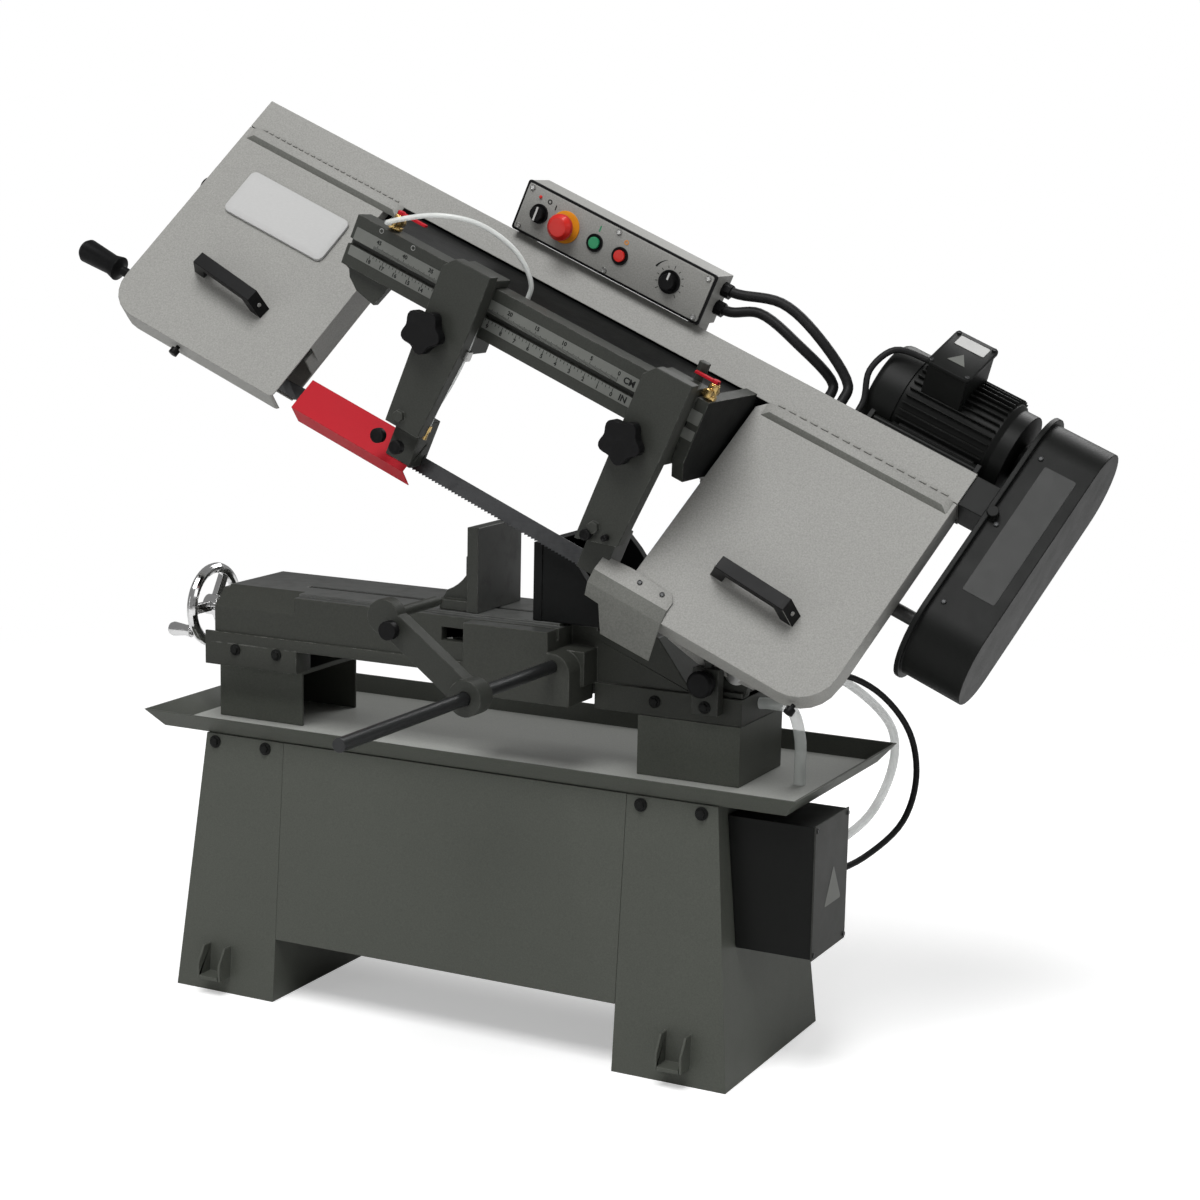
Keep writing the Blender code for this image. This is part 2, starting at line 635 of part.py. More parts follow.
def pan(outline, radii):
    """Outer and inner outlines of the fixed pan that a door closes over."""
    corners = [(a, p if p > 0 else PAN_FOOT) for a, p in outline]
    outer = inset_outline([(a, p) for a, p in corners], 5)
    outer = [(a, PAN_FOOT if p < 0 else 352) for a, p in outer]
    return outer


def bow_frame():
    low, high = PAN_BACK - PAN_WALL, 22.0
    left_a, left_b = BOW_LEFT + 5, LEFT_DOOR_END - 4
    right_a, right_b = RIGHT_DOOR_START + 5, BOW_RIGHT - 5
    top = 350.0
    parts = [prism("z", rounded([(left_a, PAN_FOOT), (left_b, PAN_FOOT), (left_b, top), (left_a, top)],
                                [40, 0, 0, 0]), low, high),
             wheel_box((BOW_LEFT, BOW_RIGHT), (HINGE_P - 2, FRAME_TOP), (low, DOOR_FACE)),
             wheel_box((left_b - 1, right_a + 1), (296, top), (low, 24)),
             prism("z", rounded([(right_a, PAN_FOOT), (right_b, PAN_FOOT), (right_b, top), (right_a, top)],
                                [0, 46, 0, 0]), low, high),
             wheel_box((-201, right_a + 1), (200, 300), (-22, -3))]
    body = fuse(parts)
    wall = PAN_WALL
    tools = [prism("z", rounded([(left_a + wall, PAN_FOOT + wall), (left_b - wall, PAN_FOOT + wall),
                                 (left_b - wall, HINGE_P - 7), (left_a + wall, HINGE_P - 7)],
                                [36, 0, 0, 0]), PAN_BACK, 60),
             prism("z", rounded([(right_a + wall, PAN_FOOT + wall), (right_b - wall, PAN_FOOT + wall),
                                 (right_b - wall, HINGE_P - 7), (right_a + wall, HINGE_P - 7)],
                                [0, 42, 0, 0]), PAN_BACK, 60),
             wheel_box((BOW_LEFT + 4, BOW_RIGHT + 20), (HINGE_P + 2.5, FRAME_TOP - 4.5), (PAN_BACK, DOOR_FACE - 4.5)),
             wheel_box((left_b - wall - 3, right_a + wall + 3), (300.5, HINGE_P + 20), (PAN_BACK, 19.5)),
             wheel_box((left_b - wall - 3, left_b + 9), (PAN_FOOT - 9, 45), (PAN_BACK, 60)),
             wheel_box((right_a - 9, right_a + wall + 3), (PAN_FOOT - 9, 45), (PAN_BACK, 60)),
             wheel_box((left_b - 140, left_b + 9), (PAN_FOOT - 9, 0), (PAN_BACK, 60)),
             wheel_box((right_a - 9, right_a + 155), (PAN_FOOT - 9, 0), (PAN_BACK, 60)),
             wheel_rod(IDLER_A - 4, WHEEL_P, 15, -60, 0), wheel_rod(DRIVE_A + 13, WHEEL_P, 24, -60, 0)]
    body = cut(body, tools)
    fill = prism("z", [(-888, 216), (left_b - 1, 203), (left_b - 1, HINGE_P), (-888, HINGE_P)], 18, 22)
    body = fuse([body, fill])
    placed(body, WHEEL_FRAME)
    shelf = prism("x", [(BEAM_Y[1] + GAP, 344), (288, 344), (288, 350), (BEAM_Y[1] + GAP, 350)], -836, -187)
    bracket = prism("x", [(84.2, 361), (84.2, 262), (112, 228), (190, 228), (241, 204), (292, 262), (262, 361)],
                    BEAM_A[1] - 8, -186)
    casting = prism("y", [(-118, 76), (60, 76), (60, 8), (36, -8), (-60, -16), (-118, -6)], 137, 141.5)
    slots = [prism("y", [(a, 2), (a + 16, 0), (a + 16, 22), (a, 22)], 120, 160) for a in (-108, -80, -52, -24, 4)]
    front, back = CHEEK_Y[0], CHEEK_Y[1] + 14
    web = prism("y", [(-96, 116), (76, 116), (60, 20), (20, -14), (-14, -20), (-80, 22)], front, front + 14)
    barrel = bar("y", 0, 0, HUB_RADIUS, front, back, 32)
    ribs = [prism("x", [(front + 13, 96), (222, 60), (back - 2, 18), (back - 2, 0), (front + 13, 0)], a, a + 10)
            for a in (-16, 6)]
    body = fuse([body, shelf, bracket, cut(casting, slots), web, barrel] + ribs + valve(VALVE_A[1]))
    body = cut(body, [bar("y", 0, 0, SHAFT_RADIUS + GAP, 0, 400, 28)])
    piece("bow_frame", body, "bow", GREY)


def door(outline, radii, handle, opening):
    shell = prism("z", rounded(outline, radii, 6), DOOR_FACE - DOOR_SKIRT, DOOR_FACE)
    inner = inset_outline(outline, DOOR_SHEET)
    inner_r = [max(r - DOOR_SHEET, 0) if r else 0 for r in radii]
    inner = [(a, p if p < 340 else 360) for a, p in inner]
    shell = cut(shell, [prism("z", rounded(inner, inner_r, 6), -10, DOOR_FACE - DOOR_SHEET)] + opening)
    (a0, p0), (a1, p1) = handle
    along = Vector((a1 - a0, p1 - p0, 0))
    length = along.length
    turn = math.degrees(math.atan2(p1 - p0, a1 - a0))
    face = DOOR_FACE - 1
    grip = prism("y", [(0, face), (22, face), (32, face + 30), (length - 32, face + 30), (length - 22, face),
                       (length, face), (length - 14, face + 44), (14, face + 44)], -11, 11)
    grip = placed(grip, Matrix.Translation((a0, p0, 0)) @ Matrix.Rotation(math.radians(turn), 4, "Z"))
    return fuse([shell, grip])


def doors():
    left = door(LEFT_DOOR, LEFT_DOOR_R, ((-1092, 86), (-942, 72)),
                [wheel_box((-843.5, -830), (-37, 62), (-10, DOOR_FACE - DOOR_SHEET)),
                 wheel_box((-905, -843.4), (188, 380), (-10, 24.6))])
    piece("left_door", left, "wheel", GREY, (-1014, HINGE_P, DOOR_FACE))
    right = door(RIGHT_DOOR, RIGHT_DOOR_R, ((-84, 72), (66, 64)),
                 [wheel_box((-190, -177.5), (-37, 62), (-10, DOOR_FACE - DOOR_SHEET)),
                  wheel_box((-190, -160), (285, 380), (-10, 24.6))])
    up = DOOR_FACE
    flange = prism("z", [(-232, -6), (-234, -26), (-106, -26), (-176, -6)], up - 0.5, up + 1.8)
    apron = prism("z", [(-196, -6), (-176, 4), (-106, -24), (-196, -24)], up - 0.5, up + 1.8)
    skirt = prism("y", [(-237, 50), (-230, 12), (-203, 9), (-184, -25), (-97, -24), (-106, 40), (-120, 62),
                        (-234, 62)], 46.5, 48.8)
    placed(skirt, WHEEL_FRAME.inverted())
    right = fuse([right, fuse([flange, apron, skirt])])
    piece("right_door", right, "wheel", GREY, (-9, HINGE_P, DOOR_FACE))


def band_wheel(name, a, shaft):
    radius = WHEEL_RADIUS - 3
    bore = 12 + GAP
    profile = [(bore, -16), (30, -16), (30, -4), (radius - 14, -4), (radius - 14, -10), (radius, -10), (radius, 14),
               (radius - 14, 14), (radius - 14, 4), (30, 4), (30, 11), (bore, 11)]
    if shaft:
        profile = [(0, -56), (14, -56), (14, -16)] + profile[1:-1] + [(0, 11)]
    wheel = turned("z", (a, WHEEL_P), profile, 60)
    holes = []
    for i in range(5):
        turn = 2 * math.pi * i / 5
        holes.append(bar("z", a + 88 * math.cos(turn), WHEEL_P + 88 * math.sin(turn), 24, -20, 20, 16))
    piece(name, cut(wheel, holes), "wheel", CAST, (a, WHEEL_P, 0))


def blade():
    """Band: flat on the wheels, turned upright between the guides."""
    half, thin = BLADE_WIDTH / 2, BLADE_THICK / 2
    reach = WHEEL_P
    a0, a1 = IDLER_A - 4, DRIVE_A + 13
    stations = []

    def turn_at(a):
        left = min(max((a - (-985)) / (-765 + 985), 0), 1)
        right = min(max((-30 - a) / (-30 + 188), 0), 1)
        share = min(left, right)
        return share * share * (3 - 2 * share)
    stops = [a0] + [-985 + 220 * i / 10 for i in range(11)] + [-188 + 158 * i / 10 for i in range(11)] + [a1]
    for a in stops:
        angle = turn_at(a) * WHEEL_TILT
        across = Vector((0, math.sin(angle), math.cos(angle)))
        normal = Vector((0, -math.cos(angle), math.sin(angle)))
        stations.append((Vector((a, 0, 0)), across, normal))
    for i in range(1, 30):
        turn = -math.pi / 2 + math.pi * i / 30
        out = Vector((math.cos(turn), math.sin(turn), 0))
        stations.append((Vector((a1, reach, 0)) + out * reach, Vector((0, 0, 1)), out))
    stations.append((Vector((a1, 2 * reach, 0)), Vector((0, 0, 1)), Vector((0, 1, 0))))
    stations.append((Vector((a0, 2 * reach, 0)), Vector((0, 0, 1)), Vector((0, 1, 0))))
    for i in range(1, 30):
        turn = math.pi / 2 + math.pi * i / 30
        out = Vector((math.cos(turn), math.sin(turn), 0))
        stations.append((Vector((a0, reach, 0)) + out * reach, Vector((0, 0, 1)), out))

    def build(bm):
        rings = []
        for centre, across, normal in stations:
            rings.append([bm.verts.new(centre + across * s * half + normal * t * thin)
                          for s, t in ((-1, -1), (1, -1), (1, 1), (-1, 1))])
        for ring, other in zip(rings, rings[1:] + rings[:1]):
            for i in range(4):
                j = (i + 1) % 4
                bm.faces.new([ring[i], ring[j], other[j], other[i]])
    piece("blade", mesh_object("blade", build), "wheel", STEEL)


def idler_parts():
    a = IDLER_A - 4
    low = PAN_BACK - PAN_WALL - GAP
    slide = fuse([wheel_box((a - 90, a + 90), (WHEEL_P - 42, WHEEL_P + 42), (low - 24, low)),
                  wheel_rod(a, WHEEL_P, 12, low - 20, 16)])
    piece("idler_slide", slide, "wheel", CAST)
    knob = turned("x", (238, -15), [(0, BOW_LEFT - 34), (14, BOW_LEFT - 34), (17, BOW_LEFT - 30),
                                    (17, BOW_LEFT - 16), (12, BOW_LEFT - 8), (8, BOW_LEFT + 5 - GAP),
                                    (0, BOW_LEFT + 5 - GAP)], 24)
    piece("tension_knob", knob, "wheel", BLACK, (BOW_LEFT - 20, 238, -15))
    handle = turned("x", (36, -15), [(0, -1323), (15, -1323), (20, -1316), (17, -1262), (21, -1246), (12, -1242),
                                   (8, -1238), (8, BOW_LEFT + 5 - GAP), (0, BOW_LEFT + 5 - GAP)], 24)
    piece("lift_handle", handle, "wheel", BLACK)


def valve(a):
    top = BEAM_H[1]
    return [bar("z", a, 104, 8, top - 4, top + 26, 6), bar("y", a, top + 12, 6, 84, 118, 16)]


def guide_beam():
    (y0, y1), (h0, h1) = BEAM_Y, BEAM_H
    bar_solid = prism("x", [(y0, h0), (y1, h0), (y1, h1), (y0, h1)], BEAM_A[0], BEAM_A[1] - 8 - GAP)
    gusset = prism("y", [(-828, h0 + 1), (-819, 262), (-800, 248), (-762, 240), (-746, h0 + 1)], 96, 110)
    groove = block((BEAM_A[0] - 10, BEAM_A[1] + 10), (y0 - 5, y0 + 9), (317 - BEAM_GROOVE / 2, 317 + BEAM_GROOVE / 2))
    beam = cut(fuse([bar_solid, gusset]), [groove])
    piece("guide_beam", fuse([beam] + valve(VALVE_A[0])), "bow", DARK)


def guide_arm(name, centre, outline, guard_slot):
    (y0, y1), (h0, h1) = BEAM_Y, BEAM_H
    front = 34.0
    plate = prism("y", outline, front, 59)
    wrap = [(58, 250), (y1 + 12, 250), (y1 + 12, 335), (y1 + GAP, 335), (y1 + GAP, h0 - GAP), (y0 - GAP, h0 - GAP),
            (y0 - GAP, h1 + GAP), (y1, h1 + GAP), (y1, h1 + 13), (58, h1 + 13)]
    carriage = prism("x", wrap, centre - 34, centre + 34)
    guides = block((centre - 28, centre + 18), (57, 104), (51, 128))
    head = bar("y", centre - 16, 126, 10, front - 7, front + 1, 6)
    arm = fuse([plate, carriage, guides, head])
    tools = [block((centre - 60, centre + 60), (BLADE_Y - 1.4, BLADE_Y + 1.4), (20, 70))]
    if guard_slot:
        slot = wheel_box((centre - 80, centre + 80), (-80, 24), (25.4, 29))
        tools.append(placed(slot, WHEEL_FRAME))
    piece(name, cut(arm, tools), "bow", DARK)
    spot = (centre - 21, 267)
    points = []
    for i in range(40):
        turn = 2 * math.pi * i / 40
        radius = 31 + 4 * math.cos(5 * turn)
        points.append((spot[0] + radius * math.cos(turn), spot[1] + radius * math.sin(turn)))
    knob = fuse([prism("y", points, front - 26, front - 6), bar("y", *spot, 14, front - 8, front - GAP, 20)])
    piece(name.replace("guide_arm", "arm_knob"), knob, "bow", BLACK, (spot[0], front - 14, spot[1]))


def guide_arms():
    c = LEFT_ARM_A
    left = [(c - 39, 366), (c - 39, 240), (c - 37, 109), (c + 25, 109), (c + 40, 246), (c + 43, 300), (c + 43, 384),
            (c - 22, 384)]
    guide_arm("left_guide_arm", c, left, True)
    c = RIGHT_ARM_A
    right = [(c - 39, 366), (c - 39, 240), (c - 39, 96), (c + 30, 117), (c + 38, 246), (c + 40, 300), (c + 40, 384),
             (c - 22, 384)]
    guide_arm("right_guide_arm", c, right, False)
    section = [(22, 28), (22, 26.5), (-33, 26.5), (-33, -18), (-34.5, -18), (-34.5, 28)]
    guard = prism("x", section, -811, -590)
    piece("blade_guard", guard, "wheel", RED)


def gearbox():
    low, high = -105.0, PAN_BACK - PAN_WALL - GAP
    body = fuse([wheel_box((-75, 95), (105, 262), (low, high - 6)), wheel_rod(DRIVE_A + 13, WHEEL_P, 44, -40, high)])
    body = cut(body, [wheel_rod(DRIVE_A + 13, WHEEL_P, 14 + GAP, -57, 10),
                      bar("x", GUARD_P[0], GUARD_K, 11 + GAP, 20, 200)])
    piece("gearbox", body, "wheel", CAST)


def motor_parts():
    centre = (MOTOR_P, MOTOR_K)
    radius = MOTOR_RADIUS
    can = turned("x", centre, [(0, -59), (radius - 18, -59), (radius - 4, -48), (radius - 4, -10), (radius, -10),
                               (radius, 150), (radius - 6, 158), (radius - 6, 180), (30, 184), (30, 196), (0, 196)], 40)
    feet = wheel_box((10, 140), (409.7 + GAP, 440), (-95, 15))
    box = block((18, 83), (-46, 46), (60, 126))
    lean = math.radians(27) - (math.pi / 2 - WHEEL_TILT)
    spin = Matrix.Rotation(-(WHEEL_TILT - math.radians(27) - math.radians(0)), 4, "X")
    placed(box, Matrix.Translation((0, MOTOR_P, MOTOR_K)) @ spin)
    rotor_hole = bar("x", *centre, 10 + GAP, 185, 260)
    piece("motor", cut(fuse([can, feet, box]), [rotor_hole]), "wheel", BLACK)
    mount = [wheel_box((-20, 150), (FRAME_TOP + GAP, 409.7), (-105, 34)),
             wheel_box((0, 130), (340, 405), (-36, PAN_BACK - PAN_WALL - GAP)),
             wheel_box((-34, -26), (FRAME_TOP + GAP, 424), (12, 32)), wheel_box((150, 158), (FRAME_TOP + GAP, 424), (12, 32)),
             wheel_box((-34, 158), (FRAME_TOP + GAP, 408), (12, 32)), bar("x", 416, 22, 6, -30, 156, 16)]
    piece("motor_mount", fuse(mount), "wheel", BLACK)
    gear = (GUARD_P[0], GUARD_K)
    a0, a1 = 228.0, 262.0

    def pulley(where, radius, shaft, reach):
        profile = [(0, reach), (shaft, reach), (shaft, a0), (radius, a0), (radius, a0 + 8), (radius - 9, a0 + 8),
                   (radius - 9, a1 - 8), (radius, a1 - 8), (radius, a1), (0, a1)]
        return turned("x", where, profile, 36)
    piece("motor_pulley", pulley(centre, 34, 10, 187), "wheel", CAST, (245, *centre))
    piece("gearbox_pulley", pulley(gear, 58, 11, 22), "wheel", CAST, (245, *gear))
    outer, inner = [], []
    for extra, outline in ((9, outer), (GAP, inner)):
        r1, r0 = 34 - 9 + extra, 58 - 9 + extra
        tilt = math.acos((r0 - r1) / (GUARD_P[1] - GUARD_P[0]))
        outline += circle(MOTOR_P, MOTOR_K, r1, 12, -tilt, 2 * tilt, False)
        outline += circle(GUARD_P[0], GUARD_K, r0, 18, tilt, 2 * math.pi - 2 * tilt, False)
    belt = cut(prism("x", outer, 239, 251), [prism("x", inner, 230, 260)])
    piece("drive_belt", belt, "wheel", RUBBER)


def belt_guard():
    c0, c1 = (GUARD_P[0], GUARD_K), (GUARD_P[1], GUARD_K)
    a0, a1 = GUARD_A
    shell = fuse([prism("x", stadium(c0, c1, GUARD_RADIUS, 18), a0 - 6, a1),
                  prism("x", stadium(c0, c1, GUARD_RADIUS + 9, 18), a0 - 8, a0)])
    shell = cut(shell, [prism("x", stadium(c0, c1, GUARD_RADIUS - 3, 18), a0 - 20, a1 - 3)])
    strap = [wheel_box((a0 - 8, a0 - 3), (300, 420), (GUARD_K - GUARD_RADIUS + 1, GUARD_K + GUARD_RADIUS - 1)),
             wheel_box((BOW_RIGHT + GAP, a0 - 5), (HINGE_P - 1, FRAME_TOP - 1), (PAN_BACK - 3, DOOR_FACE - 3)),
             bar("z", 214, 361, 9, GUARD_K + GUARD_RADIUS - 2, GUARD_K + GUARD_RADIUS + 14, 16)]
    piece("belt_guard", fuse([shell] + strap), "wheel", BLACK)


def control_box():
    y0, y1, h0, h1 = 289.5, 351.0, 405.5, 486.0
    box = prism("x", rounded([(y0, h0), (y1, h0), (y1, h1), (y0, h1)], [4, 0, 0, 4], 3), -684, -330)
    rise = 399.7 + 0.5
    fall = (399.7 - 357.4) / (360.5 - 306.0)
    feet = [prism("x", [(307, h0 + 1), (345, h0 + 1), (345, rise - 39 * fall), (307, rise - fall)], a, a + 20)
            for a in (-680, -354)]
    holes = [bar("y", a, 445, r + GAP, 200, y0 + 20, 20) for a, r in
             ((-647, 6), (-597, 8), (-540, 8), (-492, 8), (-399, 6))]
    piece("control_box", cut(fuse([box] + feet), holes), "bow", GREY)

    def control(name, a, shaft, profile, material):
        points = [(0, y0 + 11), (shaft, y0 + 11), (shaft, y0 - GAP)] + profile
        piece(name, turned("y", (a, 445), points, 28), "bow", material, (a, y0 - 6, 445))
    control("power_selector", -647, 6, [(11, y0 - GAP), (11, y0 - 16), (0, y0 - 16)], BLACK)
    control("emergency_stop", -597, 8, [(8, y0 - 14), (21, y0 - 16), (21, y0 - 24), (15, y0 - 30), (0, y0 - 31)], RED)
    control("start_button", -540, 8, [(8, y0 - 8), (0, y0 - 8)],
            finish("green", (0.03, 0.42, 0.15), 0.4))
    control("stop_button", -492, 8, [(8, y0 - 8), (0, y0 - 8)], RED)
    control("speed_dial", -399, 6, [(14, y0 - GAP), (12, y0 - 15), (0, y0 - 15)], BLACK)


def valves():
    low = BEAM_H[1] + 26 + GAP
    for name, a, reach in (("left", VALVE_A[0], (-5, 48)), ("right", VALVE_A[1], (-36, 5))):
        lever = block((a + reach[0], a + reach[1]), (100, 108), (low, low + 4))
        lever = fuse([lever, bar("z", a, 104, 6, low, low + 5, 16)])
        piece(name + "_valve_lever", lever, "bow", RED, (a, 104, low))


def cords():
    box_end = -330 + 1.0
    for name, height, start in (("conduit_front", 0, -84), ("conduit_rear", -30, -112)):
        spots = [(box_end, 333, 464 + height), (-304, 333, 467 + height), (start - 152, 342, 484 + height),
                 (start - 76, 346, 462 + height * 0.8)]
        depth = 16 if height == 0 else -6
        feet = [tuple(wheel_to_bow(start - 6, FRAME_TOP + 42, depth)), tuple(wheel_to_bow(start, FRAME_TOP + 18, depth)),
                tuple(wheel_to_bow(start, FRAME_TOP + 1, depth))]
        cord(name, spots + feet, 8, "bow", BLACK)
    spots = [(-776, 81, 372), (-775, 70, 374), (-700, 70, 420), (-640, 96, 432), (-580, 128, 412), (-548, 146, 374),
             (-546, 148, 350.8)]
    cord("left_coolant_tube", spots, 4, "bow", CLEAR)
    spots = [wheel_to_bow(17, 530, 46), wheel_to_bow(0, 530, 46), wheel_to_bow(-50, 516, 54),
             wheel_to_bow(-66, 470, 48), wheel_to_bow(-52, 430, 30), wheel_to_bow(-50, 405, 26)]
    cord("motor_cable", spots, 5, "bow", BLACK)
    cord("cabinet_cable", [(937, 292, 548), (958, 296, 556), (1000, 330, 574), (1050, 400, 540), (1092, 444, 470),
                           (1108, 440, 400), (1100, 410, 335), (1066, 330, 290), (1030, 240, 276), (1024, 212, 275),
                           (1023, 196, 275)], 5, "stand", BLACK)
    cord("coolant_supply_hose", [(915, 302, 544), (915, 328, 545), (960, 392, 560), (1010, 428, 530),
                                 (1058, 456, 470), (1062, 458, 410), (1036, 430, 330), (985, 385, 280),
                                 (956, 360, 262), (950, 341, 258)], 7, "stand", CLEAR)
    cord("drain_hose", [(937.5, 200, 545), (956, 200, 546), (988, 202, 540), (1003, 203, 500), (1005, 203, 455),
                        (1005, 203, 426.8)], 9, "stand", CLEAR)


def centre_everything():
    bpy.context.view_layer.update()
    low, high = Vector((1e9,) * 3), Vector((-1e9,) * 3)
    for item in bpy.data.objects:
        if item.type != "MESH":
            continue
        for vert in item.data.vertices:
            spot = item.matrix_world @ vert.co
            low = Vector(map(min, low, spot))
            high = Vector(map(max, high, spot))
    root.location = (-(low.x + high.x) / 2, -(low.y + high.y) / 2, -low.z)
    bpy.context.view_layer.update()
    print("size", *(high - low), "root", *root.location)


def main():
    global root
    clear_scene()
    root = empty("machine", Matrix())
    frames["stand"] = root
    hinge = Matrix.Translation(Vector((HINGE_X, 0, HINGE_Z)) * MM) @ Matrix.Rotation(BOW_ANGLE, 4, "Y")
    frames["bow"] = empty("bow_axis", hinge, root)
    tilt = Matrix.Translation(Vector((0, BLADE_Y, BLADE_H)) * MM) @ Matrix.Rotation(WHEEL_TILT, 4, "X")
    frames["wheel"] = empty("wheel_plane", tilt, frames["bow"])
    leg("left_leg", 0, LEG_WIDTH, END_TAPER, 0)
    leg("right_leg", STAND_LENGTH - LEG_WIDTH, STAND_LENGTH, 0, END_TAPER)
    panels()
    chip_tray()
    pedestals()
    cabinet()
    vise_bed()
    fixed_jaw()
    movable_jaw()
    screw_and_wheel()
    bar_stop()
    pivot()
    feed_valve()
    bow_frame()
    doors()
    band_wheel("idler_wheel", IDLER_A - 4, False)
    band_wheel("drive_wheel", DRIVE_A + 13, True)
    blade()
    idler_parts()
    guide_beam()
    guide_arms()
    gearbox()
    motor_parts()
    belt_guard()
    control_box()
    valves()
    cords()
    centre_everything()


GREY = OLIVE = DARK = BLACK = STEEL = CHROME = RED = BRASS = CAST = RUBBER = CLEAR = None


def palette():
    global GREY, OLIVE, DARK, BLACK, STEEL, CHROME, RED, BRASS, CAST, RUBBER, CLEAR
    GREY = finish("light_grey_paint", (0.30, 0.30, 0.28), 0.5)
    OLIVE = finish("olive_grey_paint", (0.065, 0.068, 0.06), 0.55)
    DARK = finish("dark_grey_casting", (0.06, 0.062, 0.06), 0.6)
    BLACK = finish("black_paint", (0.012, 0.012, 0.012), 0.5)
    STEEL = finish("steel", (0.35, 0.35, 0.35), 0.35, 1.0)
    CHROME = finish("chrome", (0.8, 0.8, 0.8), 0.1, 1.0)
    RED = finish("red_paint", (0.55, 0.02, 0.03), 0.4)
    BRASS = finish("brass", (0.6, 0.42, 0.15), 0.3, 1.0)
    CAST = finish("cast_iron", (0.12, 0.12, 0.12), 0.6, 0.6)
    RUBBER = finish("rubber", (0.02, 0.02, 0.02), 0.8)
    CLEAR = finish("clear_tube", (0.75, 0.78, 0.78), 0.3)


WHEEL_FRAME = Matrix.Translation((0, BLADE_Y, BLADE_H)) @ Matrix.Rotation(WHEEL_TILT, 4, "X")
palette()
main()
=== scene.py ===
# %% [markdown]
# # A metal-cutting band saw, dressed
# The machine was modelled as a set of plain engineering solids, each riding on the
# moving body it belongs to.  This lesson keeps those solids as a frame that can't be
# bent, rounds their edges, adds the small hardware, and gives each surface a finish
# with some life in it.  Each solid's object sits at the origin, unturned, so every
# new piece is made the same way: its place lies in its mesh.

# %% Load the frame
import json
from math import atan2, cos, pi, radians, sin

import bmesh
import bpy
from mathutils import Matrix, Vector

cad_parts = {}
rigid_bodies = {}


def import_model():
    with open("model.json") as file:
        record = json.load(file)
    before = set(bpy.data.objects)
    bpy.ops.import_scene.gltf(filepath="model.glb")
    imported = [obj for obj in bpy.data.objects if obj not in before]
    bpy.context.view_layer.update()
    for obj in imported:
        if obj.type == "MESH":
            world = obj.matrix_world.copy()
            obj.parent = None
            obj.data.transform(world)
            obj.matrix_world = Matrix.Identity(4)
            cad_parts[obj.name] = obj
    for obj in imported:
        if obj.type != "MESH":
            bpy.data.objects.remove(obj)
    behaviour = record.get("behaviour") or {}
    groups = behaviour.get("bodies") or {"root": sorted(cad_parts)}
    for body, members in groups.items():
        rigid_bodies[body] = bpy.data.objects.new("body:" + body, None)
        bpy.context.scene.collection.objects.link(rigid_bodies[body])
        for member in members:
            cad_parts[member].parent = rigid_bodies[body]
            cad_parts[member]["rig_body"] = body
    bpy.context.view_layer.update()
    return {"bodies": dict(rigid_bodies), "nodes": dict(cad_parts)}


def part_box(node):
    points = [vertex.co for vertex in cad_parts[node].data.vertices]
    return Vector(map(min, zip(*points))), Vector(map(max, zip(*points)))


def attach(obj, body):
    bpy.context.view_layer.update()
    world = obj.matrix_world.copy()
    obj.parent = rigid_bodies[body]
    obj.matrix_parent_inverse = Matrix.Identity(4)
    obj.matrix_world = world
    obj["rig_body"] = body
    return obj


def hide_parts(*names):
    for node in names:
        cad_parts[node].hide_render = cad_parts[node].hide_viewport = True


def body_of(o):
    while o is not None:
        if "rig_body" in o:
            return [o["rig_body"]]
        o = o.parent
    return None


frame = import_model()

# %% [markdown]
# ## Three places to measure from
# A band saw is drawn in three drawings: the stand, the bow that hinges on it, and the
# wheel plane, which leans back so that long stock clears the blade.  Each gets a
# matrix from its own millimetres to the world's metres.  The chip tray's corner tells
# where the stand's drawing begins, so nothing has to be typed twice.

# %% Drawing frames
MM = 0.001
BOW_LIFT = radians(23.1)
WHEEL_LEAN = radians(52.1)
TRAY_CORNER = Vector((-70.5, 12.5, 422.9))      # on the stand's drawing
HINGE_Z = 600.0
BEAM_REACH = 913.2                              # from the stand's origin, square to the raised bow
HINGE = Vector(((BEAM_REACH - HINGE_Z * cos(BOW_LIFT)) / sin(BOW_LIFT), 0, HINGE_Z))
BLADE_LINE = Vector((0, 94.2, 54.1))            # on the bow's drawing

corner = Vector(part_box("chip_tray")[0])
stand_frame = Matrix.Translation(corner) @ Matrix.Scale(MM, 4) @ Matrix.Translation(-TRAY_CORNER)
bow_frame = stand_frame @ Matrix.Translation(HINGE) @ Matrix.Rotation(BOW_LIFT, 4, "Y")
wheel_frame = bow_frame @ Matrix.Translation(BLADE_LINE) @ Matrix.Rotation(WHEEL_LEAN, 4, "X")
print("stand begins at", tuple(round(v, 4) for v in stand_frame.translation))

# %% [markdown]
# ## The camera
# A long lens, used from a few metres away, keeps the sheet metal's edges nearly
# parallel.  The camera is made before the pieces, because the hoses are checked
# against what it sees.

# %% Camera
CAMERA_SPOT = (1.75689, -3.10781, 1.33990)
CAMERA_TURN, CAMERA_DIP, CAMERA_ROLL = radians(26.5324), radians(10.1501), radians(1.1666)
camera_data = bpy.data.cameras.new("camera")
camera_data.lens = 72.83
camera_data.sensor_width = 36
camera = bpy.data.objects.new("camera", camera_data)
bpy.context.collection.objects.link(camera)
camera.matrix_world = (Matrix.Translation(CAMERA_SPOT)
                       @ Matrix.Rotation(CAMERA_TURN, 4, "Z")
                       @ Matrix.Rotation(pi / 2 - CAMERA_DIP, 4, "X")
                       @ Matrix.Rotation(CAMERA_ROLL, 4, "Z"))
bpy.context.scene.camera = camera
print("lens", camera_data.lens)

# %% [markdown]
# ## Shader maths in plain Python
# Node trees are easier to read as sums.  `Term` wraps an output socket and answers
# `+ - *` with Math nodes; `Graph.node` is the single way in which a node is made.

